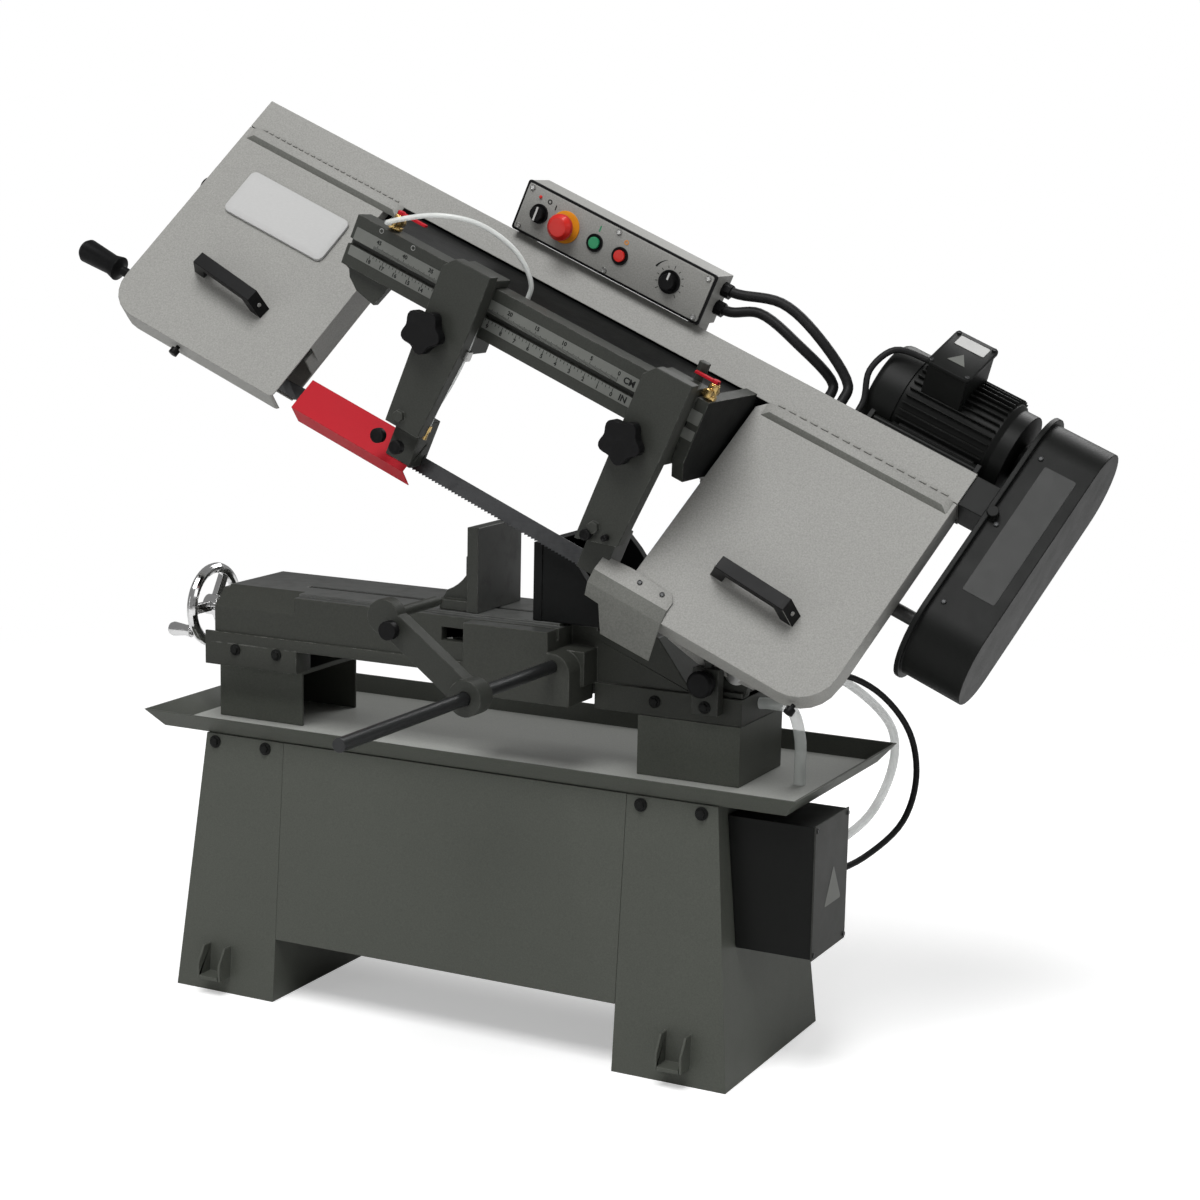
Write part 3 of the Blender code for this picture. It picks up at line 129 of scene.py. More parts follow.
# %% Expressions on sockets
class Term:
    """A node's output that can be used in a sum."""

    def __init__(self, graph, socket):
        self.graph = graph
        self.socket = socket

    def maths(self, operation, other, swapped=False):
        pair = (other, self) if swapped else (self, other)
        return self.graph.node("ShaderNodeMath", {"operation": operation}, dict(enumerate(pair)))

    def __add__(self, other):
        return self.maths("ADD", other)

    def __radd__(self, other):
        return self.maths("ADD", other, True)

    def __sub__(self, other):
        return self.maths("SUBTRACT", other)

    def __rsub__(self, other):
        return self.maths("SUBTRACT", other, True)

    def __mul__(self, other):
        return self.maths("MULTIPLY", other)

    def __rmul__(self, other):
        return self.maths("MULTIPLY", other, True)


class Graph:
    """The nodes of a material or a world, and the one method that adds to them."""

    def __init__(self, owner, shader):
        owner.use_nodes = True
        self.tree = owner.node_tree
        self.shader = self.tree.nodes[shader]

    def node(self, kind, settings=None, sockets=None, out=0):
        made = self.tree.nodes.new(kind)
        for key, value in (settings or {}).items():
            if key == "stops":
                while len(made.color_ramp.elements) < len(value):
                    made.color_ramp.elements.new(0.5)
                for element, (where, colour) in zip(made.color_ramp.elements, value):
                    element.position = where
                    element.color = colour
            else:
                setattr(made, key, value)
        for key, value in (sockets or {}).items():
            self.feed(made.inputs[key], value)
        return Term(self, made.outputs[out])

    def feed(self, socket, value):
        if isinstance(value, Term):
            self.tree.links.new(value.socket, socket)
        else:
            socket.default_value = value

    def set(self, **sockets):
        for key, value in sockets.items():
            self.feed(self.shader.inputs[key.replace("_", " ")], value)

    def noise(self, scale, detail=2.0, where=None, roughness=0.5):
        return self.node("ShaderNodeTexNoise", None,
                         {"Vector": where or self.spot, "Scale": scale, "Detail": detail,
                          "Roughness": roughness})

    def stretched(self, x, y, z):
        return self.node("ShaderNodeMapping", None, {"Vector": self.spot, "Scale": (x, y, z)})

    def ramp(self, value, *stops):
        grey = [(where, (level, level, level, 1)) for where, level in stops]
        return self.node("ShaderNodeValToRGB", {"stops": grey}, {"Fac": value})

    def blend(self, share, first, second):
        return self.node("ShaderNodeMix", {"data_type": "RGBA"}, {0: share, 6: first, 7: second}, 2)

    def shade(self, colour, level):
        return self.node("ShaderNodeVectorMath", {"operation": "SCALE"},
                         {0: colour[:3] if isinstance(colour, tuple) else colour, "Scale": level})


class Finish(Graph):
    """A new material; its patterns are measured on the object, so they stay with it."""

    def __init__(self, name):
        self.material = bpy.data.materials.new(name)
        super().__init__(self.material, "Principled BSDF")
        self.spot = self.node("ShaderNodeTexCoord", out="Object")


print("expression class ready")

# %% [markdown]
# ## Rounded edges in the shader
# A Bevel node looks round a point for nearby faces and averages their normals.  Used
# twice, it softens hard edges in the light and, compared with the true normal,
# tells where an edge is, which is where paint thins and handling polishes, and where
# the dark castings get a painted highlight.

# %% Edge finder
def edges(graph, radius, strength):
    """(softened normal, mask that is 1 on edges)."""
    soft = graph.node("ShaderNodeBevel", {"samples": 4}, {"Radius": radius}, "Normal")
    true = graph.node("ShaderNodeNewGeometry", out="Normal")
    facing = graph.node("ShaderNodeVectorMath", {"operation": "DOT_PRODUCT"}, {0: soft, 1: true}, "Value")
    mask = graph.node("ShaderNodeClamp", None, {"Value": (1 - facing) * strength})
    return soft, mask


def bumped(graph, height, strength, distance, under):
    return graph.node("ShaderNodeBump", None,
                      {"Strength": strength, "Distance": distance, "Height": height, "Normal": under})


print("edge finder ready")

# %% [markdown]
# ## Paint
# Machine paint is sprayed over sheet or casting.  Up close it has a fine speckle and
# orange peel, it drifts a little in tone, gathers dust in streaks, and wears through
# on edges.  On the dark castings the pale worn edges are strong enough to be painted
# highlights as well as wear.  One function makes every paint on the machine from a few
# numbers: the speckle for sheet, and a coarser lumpy skin for castings.

# %% Paint maker
def paint(name, colour, roughness, speck=0.10, grain=1500, peel=0.05, lumps=0.0, wear_and_highlight=0.35,
          bare_and_highlight=(0.30, 0.30, 0.29), shine=0.24, reach=0.0012):
    g = Finish(name)
    soft, edge = edges(g, reach, 10)
    drift = g.noise(5, 3)
    fine = g.noise(grain, 3, roughness=0.65)
    smear = g.noise(28, 5, roughness=0.62)
    tone = 1 + (drift - 0.5) * 0.10 + (fine - 0.5) * speck + (smear - 0.5) * 0.08
    patches = g.ramp(g.noise(90, 4), (0.45, 0.0), (0.62, 1.0))
    worn_and_highlit = edge * patches * wear_and_highlight
    base = g.blend(worn_and_highlit, g.shade(colour, tone), (*bare_and_highlight, 1))
    skin = g.noise(650, 2) * peel + fine * 0.05 + g.noise(170, 3) * lumps
    g.set(Base_Color=base, Roughness=roughness + (smear - 0.5) * 0.16 + (fine - 0.5) * 0.10,
          Normal=bumped(g, skin, 0.35, 0.0012, soft))
    g.shader.inputs["Specular IOR Level"].default_value = shine
    return g.material


light_grey = paint("light_grey_paint", (0.298, 0.296, 0.280), 0.50, speck=0.80, grain=420, peel=0.16,
                   bare_and_highlight=(0.42, 0.42, 0.40))
olive_grey = paint("olive_grey_paint", (0.076, 0.081, 0.069), 0.50, speck=0.62, grain=440, peel=0.16,
                   bare_and_highlight=(0.16, 0.165, 0.15))
# A far lighter copy of the olive paint, which paints light on the tray floor.
painted_light_tray_grey = paint("tray_floor_paint", (0.400, 0.408, 0.385), 0.46, speck=0.50, grain=400, peel=0.16,
                  bare_and_highlight=(0.24, 0.245, 0.23))
# On these two castings the strong edge wear and pale bare colour also paint highlights along the edges.
bed_grey = paint("bed_casting_paint", (0.038, 0.040, 0.034), 0.52, speck=0.62, grain=380, peel=0.16,
                 lumps=0.5, wear_and_highlight=0.8, bare_and_highlight=(0.30, 0.30, 0.28))
dark_grey = paint("dark_grey_casting", (0.034, 0.036, 0.031), 0.50, speck=0.62, grain=380, peel=0.16,
                  lumps=0.45, wear_and_highlight=0.8, bare_and_highlight=(0.32, 0.32, 0.30))
# Black paint for the fixed jaw; the same black is painted into the recess behind the beam as shade.
black_and_painted_shade = paint("black_casting", (0.006, 0.0065, 0.0065), 0.55, speck=0.50, grain=380, peel=0.14,
                  lumps=0.6, bare_and_highlight=(0.08, 0.08, 0.08), shine=0.12)
gloss_black = paint("black_paint", (0.0075, 0.008, 0.0075), 0.44, speck=0.50, grain=440, peel=0.12,
                    bare_and_highlight=(0.06, 0.06, 0.06), shine=0.12)
guard_red = paint("red_paint", (0.465, 0.016, 0.026), 0.42, speck=0.14, grain=500, peel=0.10,
                  bare_and_highlight=(0.40, 0.10, 0.09), reach=0.00035, shine=0.05)
# A darker copy of the light grey paint: it paints shade on the slopes that face down.
painted_shade_grey = paint("shaded_grey_paint", (0.138, 0.140, 0.128), 0.50, speck=0.80, grain=420, peel=0.16,
                   bare_and_highlight=(0.42, 0.42, 0.40), shine=0.12)
door_black = paint("cabinet_door_paint", (0.034, 0.035, 0.032), 0.44, speck=0.50, grain=440, peel=0.12,
                   bare_and_highlight=(0.10, 0.10, 0.10), shine=0.16)
print("paints made")

# %% [markdown]
# ## Metals
# Turned, ground and plated metal differ in the direction and depth of the tool marks.
# Stretching a noise along one axis gives lines; the stretch differs for each
# finish.

# %% Metal maker
def metal(name, colour, roughness, along=(1, 1, 1), lines=0.4, stains=0.25, metallic=1.0, tarnish=0.6):
    g = Finish(name)
    soft, edge = edges(g, 0.0008, 8)
    marks = g.noise(700, 3, g.stretched(*along))
    cloud = g.noise(35, 4, roughness=0.6)
    tone = 1 + (marks - 0.5) * lines * 0.5 - g.ramp(cloud, (0.5, 0.0), (0.75, 1.0)) * stains + edge * 0.18
    g.set(Base_Color=g.shade(colour, tone), Metallic=metallic,
          Roughness=roughness + (marks - 0.5) * 0.14 + (cloud - 0.5) * tarnish * 0.25,
          Normal=bumped(g, marks * lines + cloud * 0.1, 0.25, 0.0004, soft))
    return g.material


ground_iron = metal("ground_iron", (0.105, 0.108, 0.103), 0.42, (0.03, 1, 1), 0.7, 0.3, 0.55)
steel = metal("steel", (0.42, 0.42, 0.41), 0.30, (0.05, 1, 1), 0.6)
blade_steel = metal("blade_steel", (0.055, 0.056, 0.058), 0.40, (0.04, 1, 1), 0.6, 0.3, 0.7)
black_steel = metal("black_oxide_steel", (0.032, 0.033, 0.034), 0.38, (1, 0.04, 1), 0.5, 0.2, 0.6)
chrome = metal("chrome", (0.80, 0.80, 0.80), 0.09, (1, 1, 1), 0.15, 0.08, 1.0, 0.25)
brass = metal("brass", (0.62, 0.43, 0.17), 0.26, (1, 1, 0.2), 0.4, 0.3)
cast_iron = metal("cast_iron", (0.10, 0.10, 0.098), 0.52, (1, 1, 1), 0.8, 0.35, 0.5)
nameplate = metal("brushed_plate", (0.50, 0.50, 0.495), 0.55, (0.06, 1, 1), 0.25, 0.0, 0.0, 0.2)
nameplate.node_tree.nodes["Principled BSDF"].inputs["Specular IOR Level"].default_value = 0.15   # no glare
print("metals made")

# %% [markdown]
# ## Moulded parts
# Plastic has a satin skin from the mould and lighter rubbed edges; rubber is duller
# and dustier; vinyl tube lets light through and is clouded in patches.

# %% Plastic, rubber and tube
def moulded(name, colour, roughness, grain=0.5, rub=0.25, dust=0.05, coat=0.0, shine=0.18,
            reach=0.0010):
    g = Finish(name)
    soft, edge = edges(g, reach, 8)
    skin = g.noise(1500, 2)
    cloud = g.noise(45, 4, roughness=0.6)
    tone = 1 + (skin - 0.5) * 0.25 + (cloud - 0.5) * 0.20
    pale = g.shade(tuple(0.6 * value + 0.08 for value in colour), tone)
    dusted = g.ramp(cloud, (0.5, 0.0), (0.8, dust))
    base = g.blend(edge * rub + dusted, g.shade(colour, tone), pale)
    g.set(Base_Color=base, Roughness=roughness + (cloud - 0.5) * 0.2 + edge * 0.08,
          Normal=bumped(g, skin * grain, 0.3, 0.0004, soft))
    g.shader.inputs["Coat Weight"].default_value = coat
    g.shader.inputs["Specular IOR Level"].default_value = shine
    return g.material


def vinyl(name, colour, see_through):
    g = Finish(name)
    cloud = g.noise(60, 3)
    bloom = g.ramp(g.noise(22, 4), (0.45, 0.0), (0.7, 1.0))
    g.set(Base_Color=g.shade(colour, 0.94 + cloud * 0.1), Roughness=0.16 + cloud * 0.12,
          Alpha=see_through + bloom * 0.12,
          Normal=bumped(g, g.noise(300, 2), 0.15, 0.0005,
                        g.node("ShaderNodeNewGeometry", out="Normal")))
    return g.material


black_plastic = moulded("black_plastic", (0.0065, 0.0065, 0.0068), 0.40, shine=0.10)
red_plastic = moulded("red_plastic", (0.60, 0.020, 0.014), 0.30, 0.2, 0.12, coat=0.2)
green_plastic = moulded("green_plastic", (0.016, 0.26, 0.105), 0.30, 0.2, 0.12, coat=0.2)
yellow_plastic = moulded("amber_plastic", (0.72, 0.27, 0.015), 0.38, 0.2, 0.1)
rubber = moulded("rubber", (0.011, 0.011, 0.0115), 0.50, 0.8, 0.1, 0.12)
white_tube = vinyl("white_tube", (0.82, 0.84, 0.82), 0.72)
clear_tube = vinyl("clear_tube", (0.76, 0.79, 0.77), 0.50)
ink = moulded("black_ink", (0.008, 0.008, 0.008), 0.5, 0.2, 0.0, 0.02, reach=0.0001)
grey_label = moulded("grey_label", (0.145, 0.15, 0.138), 0.42, 0.2, 0.1, reach=0.0002)
pale_label = moulded("pale_label", (0.55, 0.55, 0.54), 0.42, 0.2, 0.1, reach=0.0002)
dark_label = moulded("dark_label", (0.030, 0.031, 0.030), 0.40, 0.2, 0.1, reach=0.0002)
print("moulded finishes made")

# %% [markdown]
# ## Hoses and cables
# A hose is a smooth line with a thickness, so it is drawn as one curve through a few
# chosen points.  The curve leaves the machine straight, hangs, and goes back
# in.  Two hang loose: the supply cable to the switch cabinet and the coolant
# hose to the tank.

# %% Curve through points
def smooth_path(points, steps):
    """Centripetal curve: it passes through every point with no overshoot."""
    ends = [2 * points[0] - points[1]] + points + [2 * points[-1] - points[-2]]
    path = []
    for p0, p1, p2, p3 in zip(ends, ends[1:], ends[2:], ends[3:]):
        k1 = (p1 - p0).length ** 0.5
        k2 = k1 + (p2 - p1).length ** 0.5
        k3 = k2 + (p3 - p2).length ** 0.5
        for i in range(steps):
            t = k1 + (k2 - k1) * i / steps
            a1 = p0.lerp(p1, t / k1)
            a2 = p1.lerp(p2, (t - k1) / (k2 - k1))
            a3 = p2.lerp(p3, (t - k2) / (k3 - k2))
            b1 = a1.lerp(a2, t / k2)
            b2 = a2.lerp(a3, (t - k1) / (k3 - k1))
            path.append(b1.lerp(b2, (t - k1) / (k2 - k1)))
    return path + [points[-1]]


def round_line(name, drawing, spots, radius, roundness, material):
    """Round tube through spots on a drawing; gives (object, path in the world, length)."""
    path = [drawing @ spot for spot in smooth_path([Vector(spot) for spot in spots], 6)]
    line = bpy.data.curves.new(name, "CURVE")
    line.dimensions = "3D"
    line.bevel_depth = radius * MM
    line.bevel_resolution = roundness
    line.use_fill_caps = True
    spline = line.splines.new("POLY")
    spline.points.add(len(path) - 1)
    for point, spot in zip(spline.points, path):
        point.co = (*spot, 1)
    spline.use_smooth = True
    made = bpy.data.objects.new(name, line)
    bpy.context.collection.objects.link(made)
    line.materials.append(material)
    length = sum((b - a).length for a, b in zip(path, path[1:]))
    print(name, "length", round(length, 3))
    return made, path, length


def hose(node, drawing, spots, radius, body, material):
    """Hose that stands for the solid called node."""
    made, path, length = round_line(node + "_line", drawing, spots, radius, 5, material)
    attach(made, body)
    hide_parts(node)
    return made, path, length


# %% Free cable and coolant hose
cable, cable_path, cable_length = hose("cabinet_cable", stand_frame, [
    (937, 292, 548), (958, 296, 556), (1000, 330, 574), (1050, 400, 540), (1092, 444, 470),
    (1108, 440, 400), (1100, 410, 335), (1066, 330, 290), (1030, 240, 276), (1024, 212, 275),
    (1023, 196, 275)], 5, "base", rubber)
coolant, coolant_path, coolant_length = hose("coolant_supply_hose", stand_frame, [
    (915, 302, 544), (915, 328, 545), (960, 392, 560), (1010, 428, 530), (1058, 456, 470),
    (1062, 458, 410), (1036, 430, 330), (985, 385, 280), (956, 360, 262), (950, 341, 258)],
    7, "base", clear_tube)

# %% Hoses held at both ends
to_bow = bow_frame.inverted()


def wheel_spot(a, p, k):
    """A point of the wheel's drawing, on the bow's."""
    return to_bow @ wheel_frame @ Vector((a, p, k))


for name, drop, start, depth in (("conduit_front", 0, -84, 16), ("conduit_rear", -30, -112, -6)):
    hose(name, bow_frame, [(-329, 333, 464 + drop), (-304, 333, 467 + drop),
                           (start - 152, 342, 484 + drop), (start - 76, 346, 462 + drop * 0.8),
                           wheel_spot(start - 6, 445, depth), wheel_spot(start, 421, depth),
                           wheel_spot(start, 404, depth)], 8, "bow", rubber)
hose("left_coolant_tube", bow_frame, [
    (-776, 81, 372), (-775, 70, 374), (-700, 70, 420), (-640, 96, 432),
    (-580, 128, 412), (-548, 146, 374), (-546, 148, 350.8)], 4, "bow", white_tube)
hose("motor_cable", bow_frame, [
    wheel_spot(17, 530, 46), wheel_spot(0, 530, 46), wheel_spot(-50, 516, 54),
    wheel_spot(-66, 470, 48), wheel_spot(-52, 430, 30), wheel_spot(-50, 405, 26)], 5, "bow", rubber)
hose("drain_hose", stand_frame, [(937.5, 200, 545), (956, 200, 546), (988, 202, 540), (1003, 203, 500),
                                 (1005, 203, 455), (1005, 203, 426.8)], 9, "base", clear_tube)

# %% [markdown]
# ## Dressing the solids
# Real sheet and castings never have a knife edge.  Each solid that shows is copied,
# its loose triangles are merged and its flat faces joined again, and a Bevel
# modifier rounds what is sharp.  The modifier is applied, so the copy is plain mesh,
# and the copy then stands for the solid.

# %% Bevelled copies
def only(piece):
    """Deselect everything, then select and activate one object."""
    bpy.ops.object.select_all(action="DESELECT")
    piece.select_set(True)
    bpy.context.view_layer.objects.active = piece


def apply_all(piece):
    only(piece)
    for modifier in list(piece.modifiers):
        bpy.ops.object.modifier_apply(modifier=modifier.name)


def dress(node, material, width, segments=2, sharp=32, smooth=38):
    """Bevelled copy of a solid; width in millimetres, the angles in degrees."""
    source = frame["nodes"][node]
    piece = bpy.data.objects.new(node + "_skin", source.data.copy())
    bpy.context.collection.objects.link(piece)
    piece.data.materials.clear()
    piece.data.materials.append(material)
    only(piece)
    bpy.ops.object.mode_set(mode="EDIT")
    bpy.ops.mesh.select_all(action="SELECT")
    bpy.ops.mesh.customdata_custom_splitnormals_clear()
    bpy.ops.mesh.remove_doubles(threshold=0.00002)
    bpy.ops.mesh.dissolve_limited(angle_limit=radians(0.7))
    bpy.ops.object.mode_set(mode="OBJECT")
    bpy.ops.object.shade_smooth_by_angle(angle=radians(smooth))
    if width:
        bevel = piece.modifiers.new("round", "BEVEL")
        bevel.width = width * MM
        bevel.segments = segments
        bevel.limit_method = "ANGLE"
        bevel.angle_limit = radians(sharp)
        bevel.use_clamp_overlap = False
        bevel.harden_normals = True
        apply_all(piece)
    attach(piece, source.parent.name if source.parent.name in frame["bodies"] else body_of(source)[0])
    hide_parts(node)
    skins[node] = piece
    return piece


skins = {}
DRESSES = {                                     # finish: {solid: how far its edges are rounded}
    light_grey: {"bow_frame": 0.8, "left_door": 1.0, "right_door": 1.0, "control_box": 0.9},
    olive_grey: {"left_leg": 0.9, "right_leg": 0.9, "front_panel": 0.6, "rear_panel": 0.6, "chip_tray": 0.7,
                 "left_pedestal": 0.9, "right_pedestal": 0.9},
    bed_grey: {"vise_bed": 1.6},
    dark_grey: {"guide_beam": 0.8, "left_guide_arm": 1.6, "right_guide_arm": 1.6, "stop_arm": 1.2,
                "pivot_bracket": 1.0, "feed_valve": 1.2, "movable_jaw": 1.2},
    black_and_painted_shade: {"fixed_jaw": 1.2},
    gloss_black: {"belt_guard": 1.2, "switch_cabinet": 0.9, "motor_mount": 0.9, "motor": 0.8},
    door_black: {"cabinet_door": 0.5},
    guard_red: {"blade_guard": 0.4, "left_valve_lever": 0.6, "right_valve_lever": 0.6},
    black_plastic: {"feed_knob": 1.0, "stop_arm_knob": 0.8, "left_arm_knob": 1.2, "right_arm_knob": 1.2,
                    "tension_knob": 1.0, "lift_handle": 0.8, "power_selector": 0.6, "speed_dial": 0.6,
                    "coolant_tank": 1.0},
    red_plastic: {"emergency_stop": 1.2, "stop_button": 0.6},
    green_plastic: {"start_button": 0.6},
    chrome: {"handwheel": 0.5, "handwheel_grip": 0.6},
    black_steel: {"stop_rod": 0.8},
    steel: {"leadscrew": 0.4},
    cast_iron: {"gearbox": 1.0, "idler_slide": 0.6, "idler_wheel": 0.8, "drive_wheel": 0.8,
                "motor_pulley": 0.5, "gearbox_pulley": 0.5},
}
for material, nodes in DRESSES.items():
    for node, width in nodes.items():
        dress(node, material, width)
for node, material in (("blade", blade_steel), ("drive_belt", rubber), ("pivot_shaft", steel)):
    frame["nodes"][node].data.materials.clear()
    frame["nodes"][node].data.materials.append(material)
print("dressed", len(skins), "solids")

# %% [markdown]
# ## Two finishes on one piece
# A machined way, a black handle screwed to a grey door or a brass valve let into a
# casting belongs to its solid but has its own finish.  Faces are chosen by their place
# on the drawing and by the way they face, and given a second material slot.

# %% Paint faces by their place
def repaint(piece, material, drawing, low, high, facing=None):
    """Faces whose centre lies in a box on the drawing, and which face the given way."""
    inverse = drawing.inverted()
    turn = inverse.to_3x3().normalized()
    if material.name not in [slot.name for slot in piece.data.materials]:
        piece.data.materials.append(material)
    index = [slot.name for slot in piece.data.materials].index(material.name)
    count = 0
    for face in piece.data.polygons:
        spot = inverse @ face.center
        if not all(a <= b <= c for a, b, c in zip(low, spot, high)):
            continue
        if facing and (turn @ face.normal).dot(Vector(facing)) < 0.9:
            continue
        face.material_index = index
        count += 1
    print(piece.name, material.name, count, "faces")


BIG = 5000                                      # further than any drawing reaches
repaint(skins["left_door"], black_plastic, wheel_frame, (-1100, 60, 46.0), (-934, 98, 100))
repaint(skins["right_door"], black_plastic, wheel_frame, (-92, 54, 46.0), (74, 82, 100))
# The tray floor's upward faces take the lighter paint: painted light.
repaint(skins["chip_tray"], painted_light_tray_grey, stand_frame, (-46, 37, 425), (1052, 411, 427.5), (0, 0, 1))
repaint(skins["vise_bed"], ground_iron, stand_frame, (8, 60, 644), (702, 293, 652), (0, 0, 1))
repaint(skins["vise_bed"], ground_iron, stand_frame, (8, 100, 640), (702, 293, 652.5), (0, -1, 0))
repaint(skins["fixed_jaw"], ground_iron, stand_frame, (592, 100, 640), (594, 400, 800), (-1, 0, 0))
repaint(skins["movable_jaw"], ground_iron, stand_frame, (495, 100, 640), (497, 300, 800), (1, 0, 0))
# The recess behind the beam is painted black: a painted shade.
repaint(skins["bow_frame"], black_and_painted_shade, bow_frame, (-BIG, 100, 250), (-150, 350, 352))
repaint(skins["bow_frame"], dark_grey, bow_frame, (-212, 60, 100), (-178, 186, 420))
repaint(skins["bow_frame"], brass, bow_frame, (-206, 80, 362), (-186, 120, 400))
repaint(skins["guide_beam"], brass, bow_frame, (-786, 80, 361), (-766, 120, 400))

# %% [markdown]
# ## Light and floor
# A large softbox overhead and a pale surrounding light the paint at a plain level.
# Smaller ones from the front and the right keep the upright faces readable, and one
# from behind draws the upper edges.  The floor is a pale sheet that stays white to the
# camera and still takes a soft shadow.  The surrounding is brighter to the camera than
# to the machine, so that the background is white and the paint stays dark.

# %% Studio
def softbox(name, spot, target, size, power):
    lamp = bpy.data.lights.new(name, "AREA")
    lamp.shape = "SQUARE"
    lamp.size = size
    lamp.energy = power
    made = bpy.data.objects.new(name, lamp)
    bpy.context.collection.objects.link(made)
    made.location = spot
    made.rotation_euler = (Vector(target) - Vector(spot)).to_track_quat("-Z", "Y").to_euler()


middle = (0, 0, 0.8)
softbox("overhead", (0.5, -2.7, 6.2), middle, 3.2, 300)
softbox("front", (-2.6, -4.2, 1.5), middle, 2.2, 24)
softbox("right", (3.6, -1.2, 2.4), (0.5, 0, 1.0), 1.6, 9)
softbox("back", (0.6, 3.8, 3.6), middle, 2.4, 80)

world = bpy.data.worlds.new("surround")
bpy.context.scene.world = world
sky = Graph(world, "Background")
seen = sky.node("ShaderNodeMath", {"operation": "MAXIMUM"},
                {0: sky.node("ShaderNodeLightPath", out="Is Camera Ray"),
                 1: sky.node("ShaderNodeLightPath", out="Is Transmission Ray")})
sky.set(Color=(1, 1, 1, 1),
        Strength=sky.node("ShaderNodeMapRange", None, {"Value": seen, "To Min": 0.24, "To Max": 1.0}))

bpy.ops.object.select_all(action="DESELECT")
bpy.ops.mesh.primitive_plane_add(size=60, location=(0, 0, 0))
floor = bpy.context.object
floor.name = "floor"
pale = Finish("pale_floor")
pale.set(Roughness=0.9, Base_Color=(0.92, 0.92, 0.92, 1))
to_camera = pale.node("ShaderNodeLightPath", out="Is Camera Ray")
far = pale.node("ShaderNodeTexGradient", {"gradient_type": "SPHERICAL"},
                {"Vector": pale.stretched(0.28, 0.28, 0.28)}, "Fac")
white = pale.node("ShaderNodeEmission", None, {"Color": (1, 1, 1, 1), "Strength": 1.0})
glow = pale.node("ShaderNodeEmission", None, {"Strength": to_camera * 0.38})
lit = pale.node("ShaderNodeAddShader", None, {0: Term(pale, pale.shader.outputs[0]), 1: glow})
fade = pale.ramp(far, (0.0, 1.0), (0.5, 0.0)) * to_camera
seen_floor = pale.node("ShaderNodeMixShader", None, {0: fade, 1: lit, 2: white})
pale.tree.links.new(seen_floor.socket, pale.tree.nodes["Material Output"].inputs["Surface"])
floor.data.materials.append(pale.material)
bpy.context.scene.view_settings.view_transform = "Standard"
print("four softboxes and a floor")

# %% [markdown]
# ## Modelling by hand, in code
# New pieces start as a primitive at its size and place on a drawing, are shaped in
# edit mode, and are then carried to the world by the drawing's matrix, which leaves
# the object itself at the origin.  The helpers below do that first step and that last.

# %% Begin and settle a piece
def block(x, y, z):
    """A box between the given limits on a drawing, ready to be shaped."""
    bpy.ops.object.select_all(action="DESELECT")
    size = [b - a for a, b in (x, y, z)]
    bpy.ops.mesh.primitive_cube_add(size=1, location=[(a + b) / 2 for a, b in (x, y, z)], scale=size)
    bpy.ops.object.transform_apply(location=True, rotation=True, scale=True)
    return bpy.context.object


TURNS = {"x": (0, pi / 2, 0), "y": (pi / 2, 0, 0), "z": (0, 0, 0)}


def rod(axis, centre, radius, low, high, sides=32):
    """A bar along an axis; centre holds the two other coordinates."""
    bpy.ops.object.select_all(action="DESELECT")
    spot = list(centre)
    spot.insert("xyz".index(axis), (low + high) / 2)
    bpy.ops.mesh.primitive_cylinder_add(vertices=sides, radius=radius, depth=high - low, location=spot,
                                        rotation=TURNS[axis])
    bpy.ops.object.transform_apply(location=True, rotation=True, scale=True)
    return bpy.context.object


def choose(kind, test):
    """In edit mode, select only the faces, edges or vertices that pass."""
    bpy.ops.mesh.select_all(action="DESELECT")
    bpy.ops.mesh.select_mode(type={"faces": "FACE", "edges": "EDGE", "verts": "VERT"}[kind])
    shape = bmesh.from_edit_mesh(bpy.context.object.data)
    for item in getattr(shape, kind):
        item.select_set(bool(test(item)))
    bmesh.update_edit_mesh(bpy.context.object.data)


def faces_towards(*way):
    choose("faces", lambda face: face.normal.dot(Vector(way)) > 0.95)


def edges_along(*way):
    def parallel(edge):
        along = (edge.verts[0].co - edge.verts[1].co).normalized()
        return abs(along.dot(Vector(way))) > 0.95

    choose("edges", parallel)


def soften(width, segments=2, sharp=30):
    """Round every edge that is sharp."""
    bpy.ops.object.mode_set(mode="EDIT")
    bpy.ops.mesh.select_mode(type="EDGE")
    bpy.ops.mesh.select_all(action="DESELECT")
    bpy.ops.mesh.edges_select_sharp(sharpness=radians(sharp))
    bpy.ops.mesh.bevel(offset=width, segments=segments, affect="EDGES", clamp_overlap=True)
    bpy.ops.object.mode_set(mode="OBJECT")


def rounded_plate(x, y, z, way, corner, rim, segments=5):
    """A plate whose corners, seen along the axis given by way, are round, and whose rim is soft."""
    made = block(x, y, z)
    bpy.ops.object.mode_set(mode="EDIT")
    edges_along(*way)
    bpy.ops.mesh.bevel(offset=corner, segments=segments, affect="EDGES")
    bpy.ops.object.mode_set(mode="OBJECT")
    if rim:
        soften(rim, 2, 50)
    return made


def joined(pieces):
    """Join copies into one piece."""
    bpy.ops.object.select_all(action="DESELECT")
    for piece in pieces:
        piece.select_set(True)
    bpy.context.view_layer.objects.active = pieces[0]
    if len(pieces) > 1:
        bpy.ops.object.join()
    return bpy.context.object


def settle(piece, name, drawing, body, material):
    """Carry a piece from its drawing to the world and let it ride on a body."""
    piece.name = name
    piece.data.transform(drawing)
    piece.data.materials.clear()
    piece.data.materials.append(material)
    only(piece)
    bpy.ops.object.shade_smooth_by_angle(angle=radians(35))
    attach(piece, body)
    print(name, len(piece.data.polygons), "faces")
    return piece


def copy_to(piece, matrix):
    """A copy with a mesh of its own, moved on the drawing."""
    twin = bpy.data.objects.new(piece.name, piece.data.copy())
    bpy.context.collection.objects.link(twin)
    twin.data.transform(matrix)
    return twin


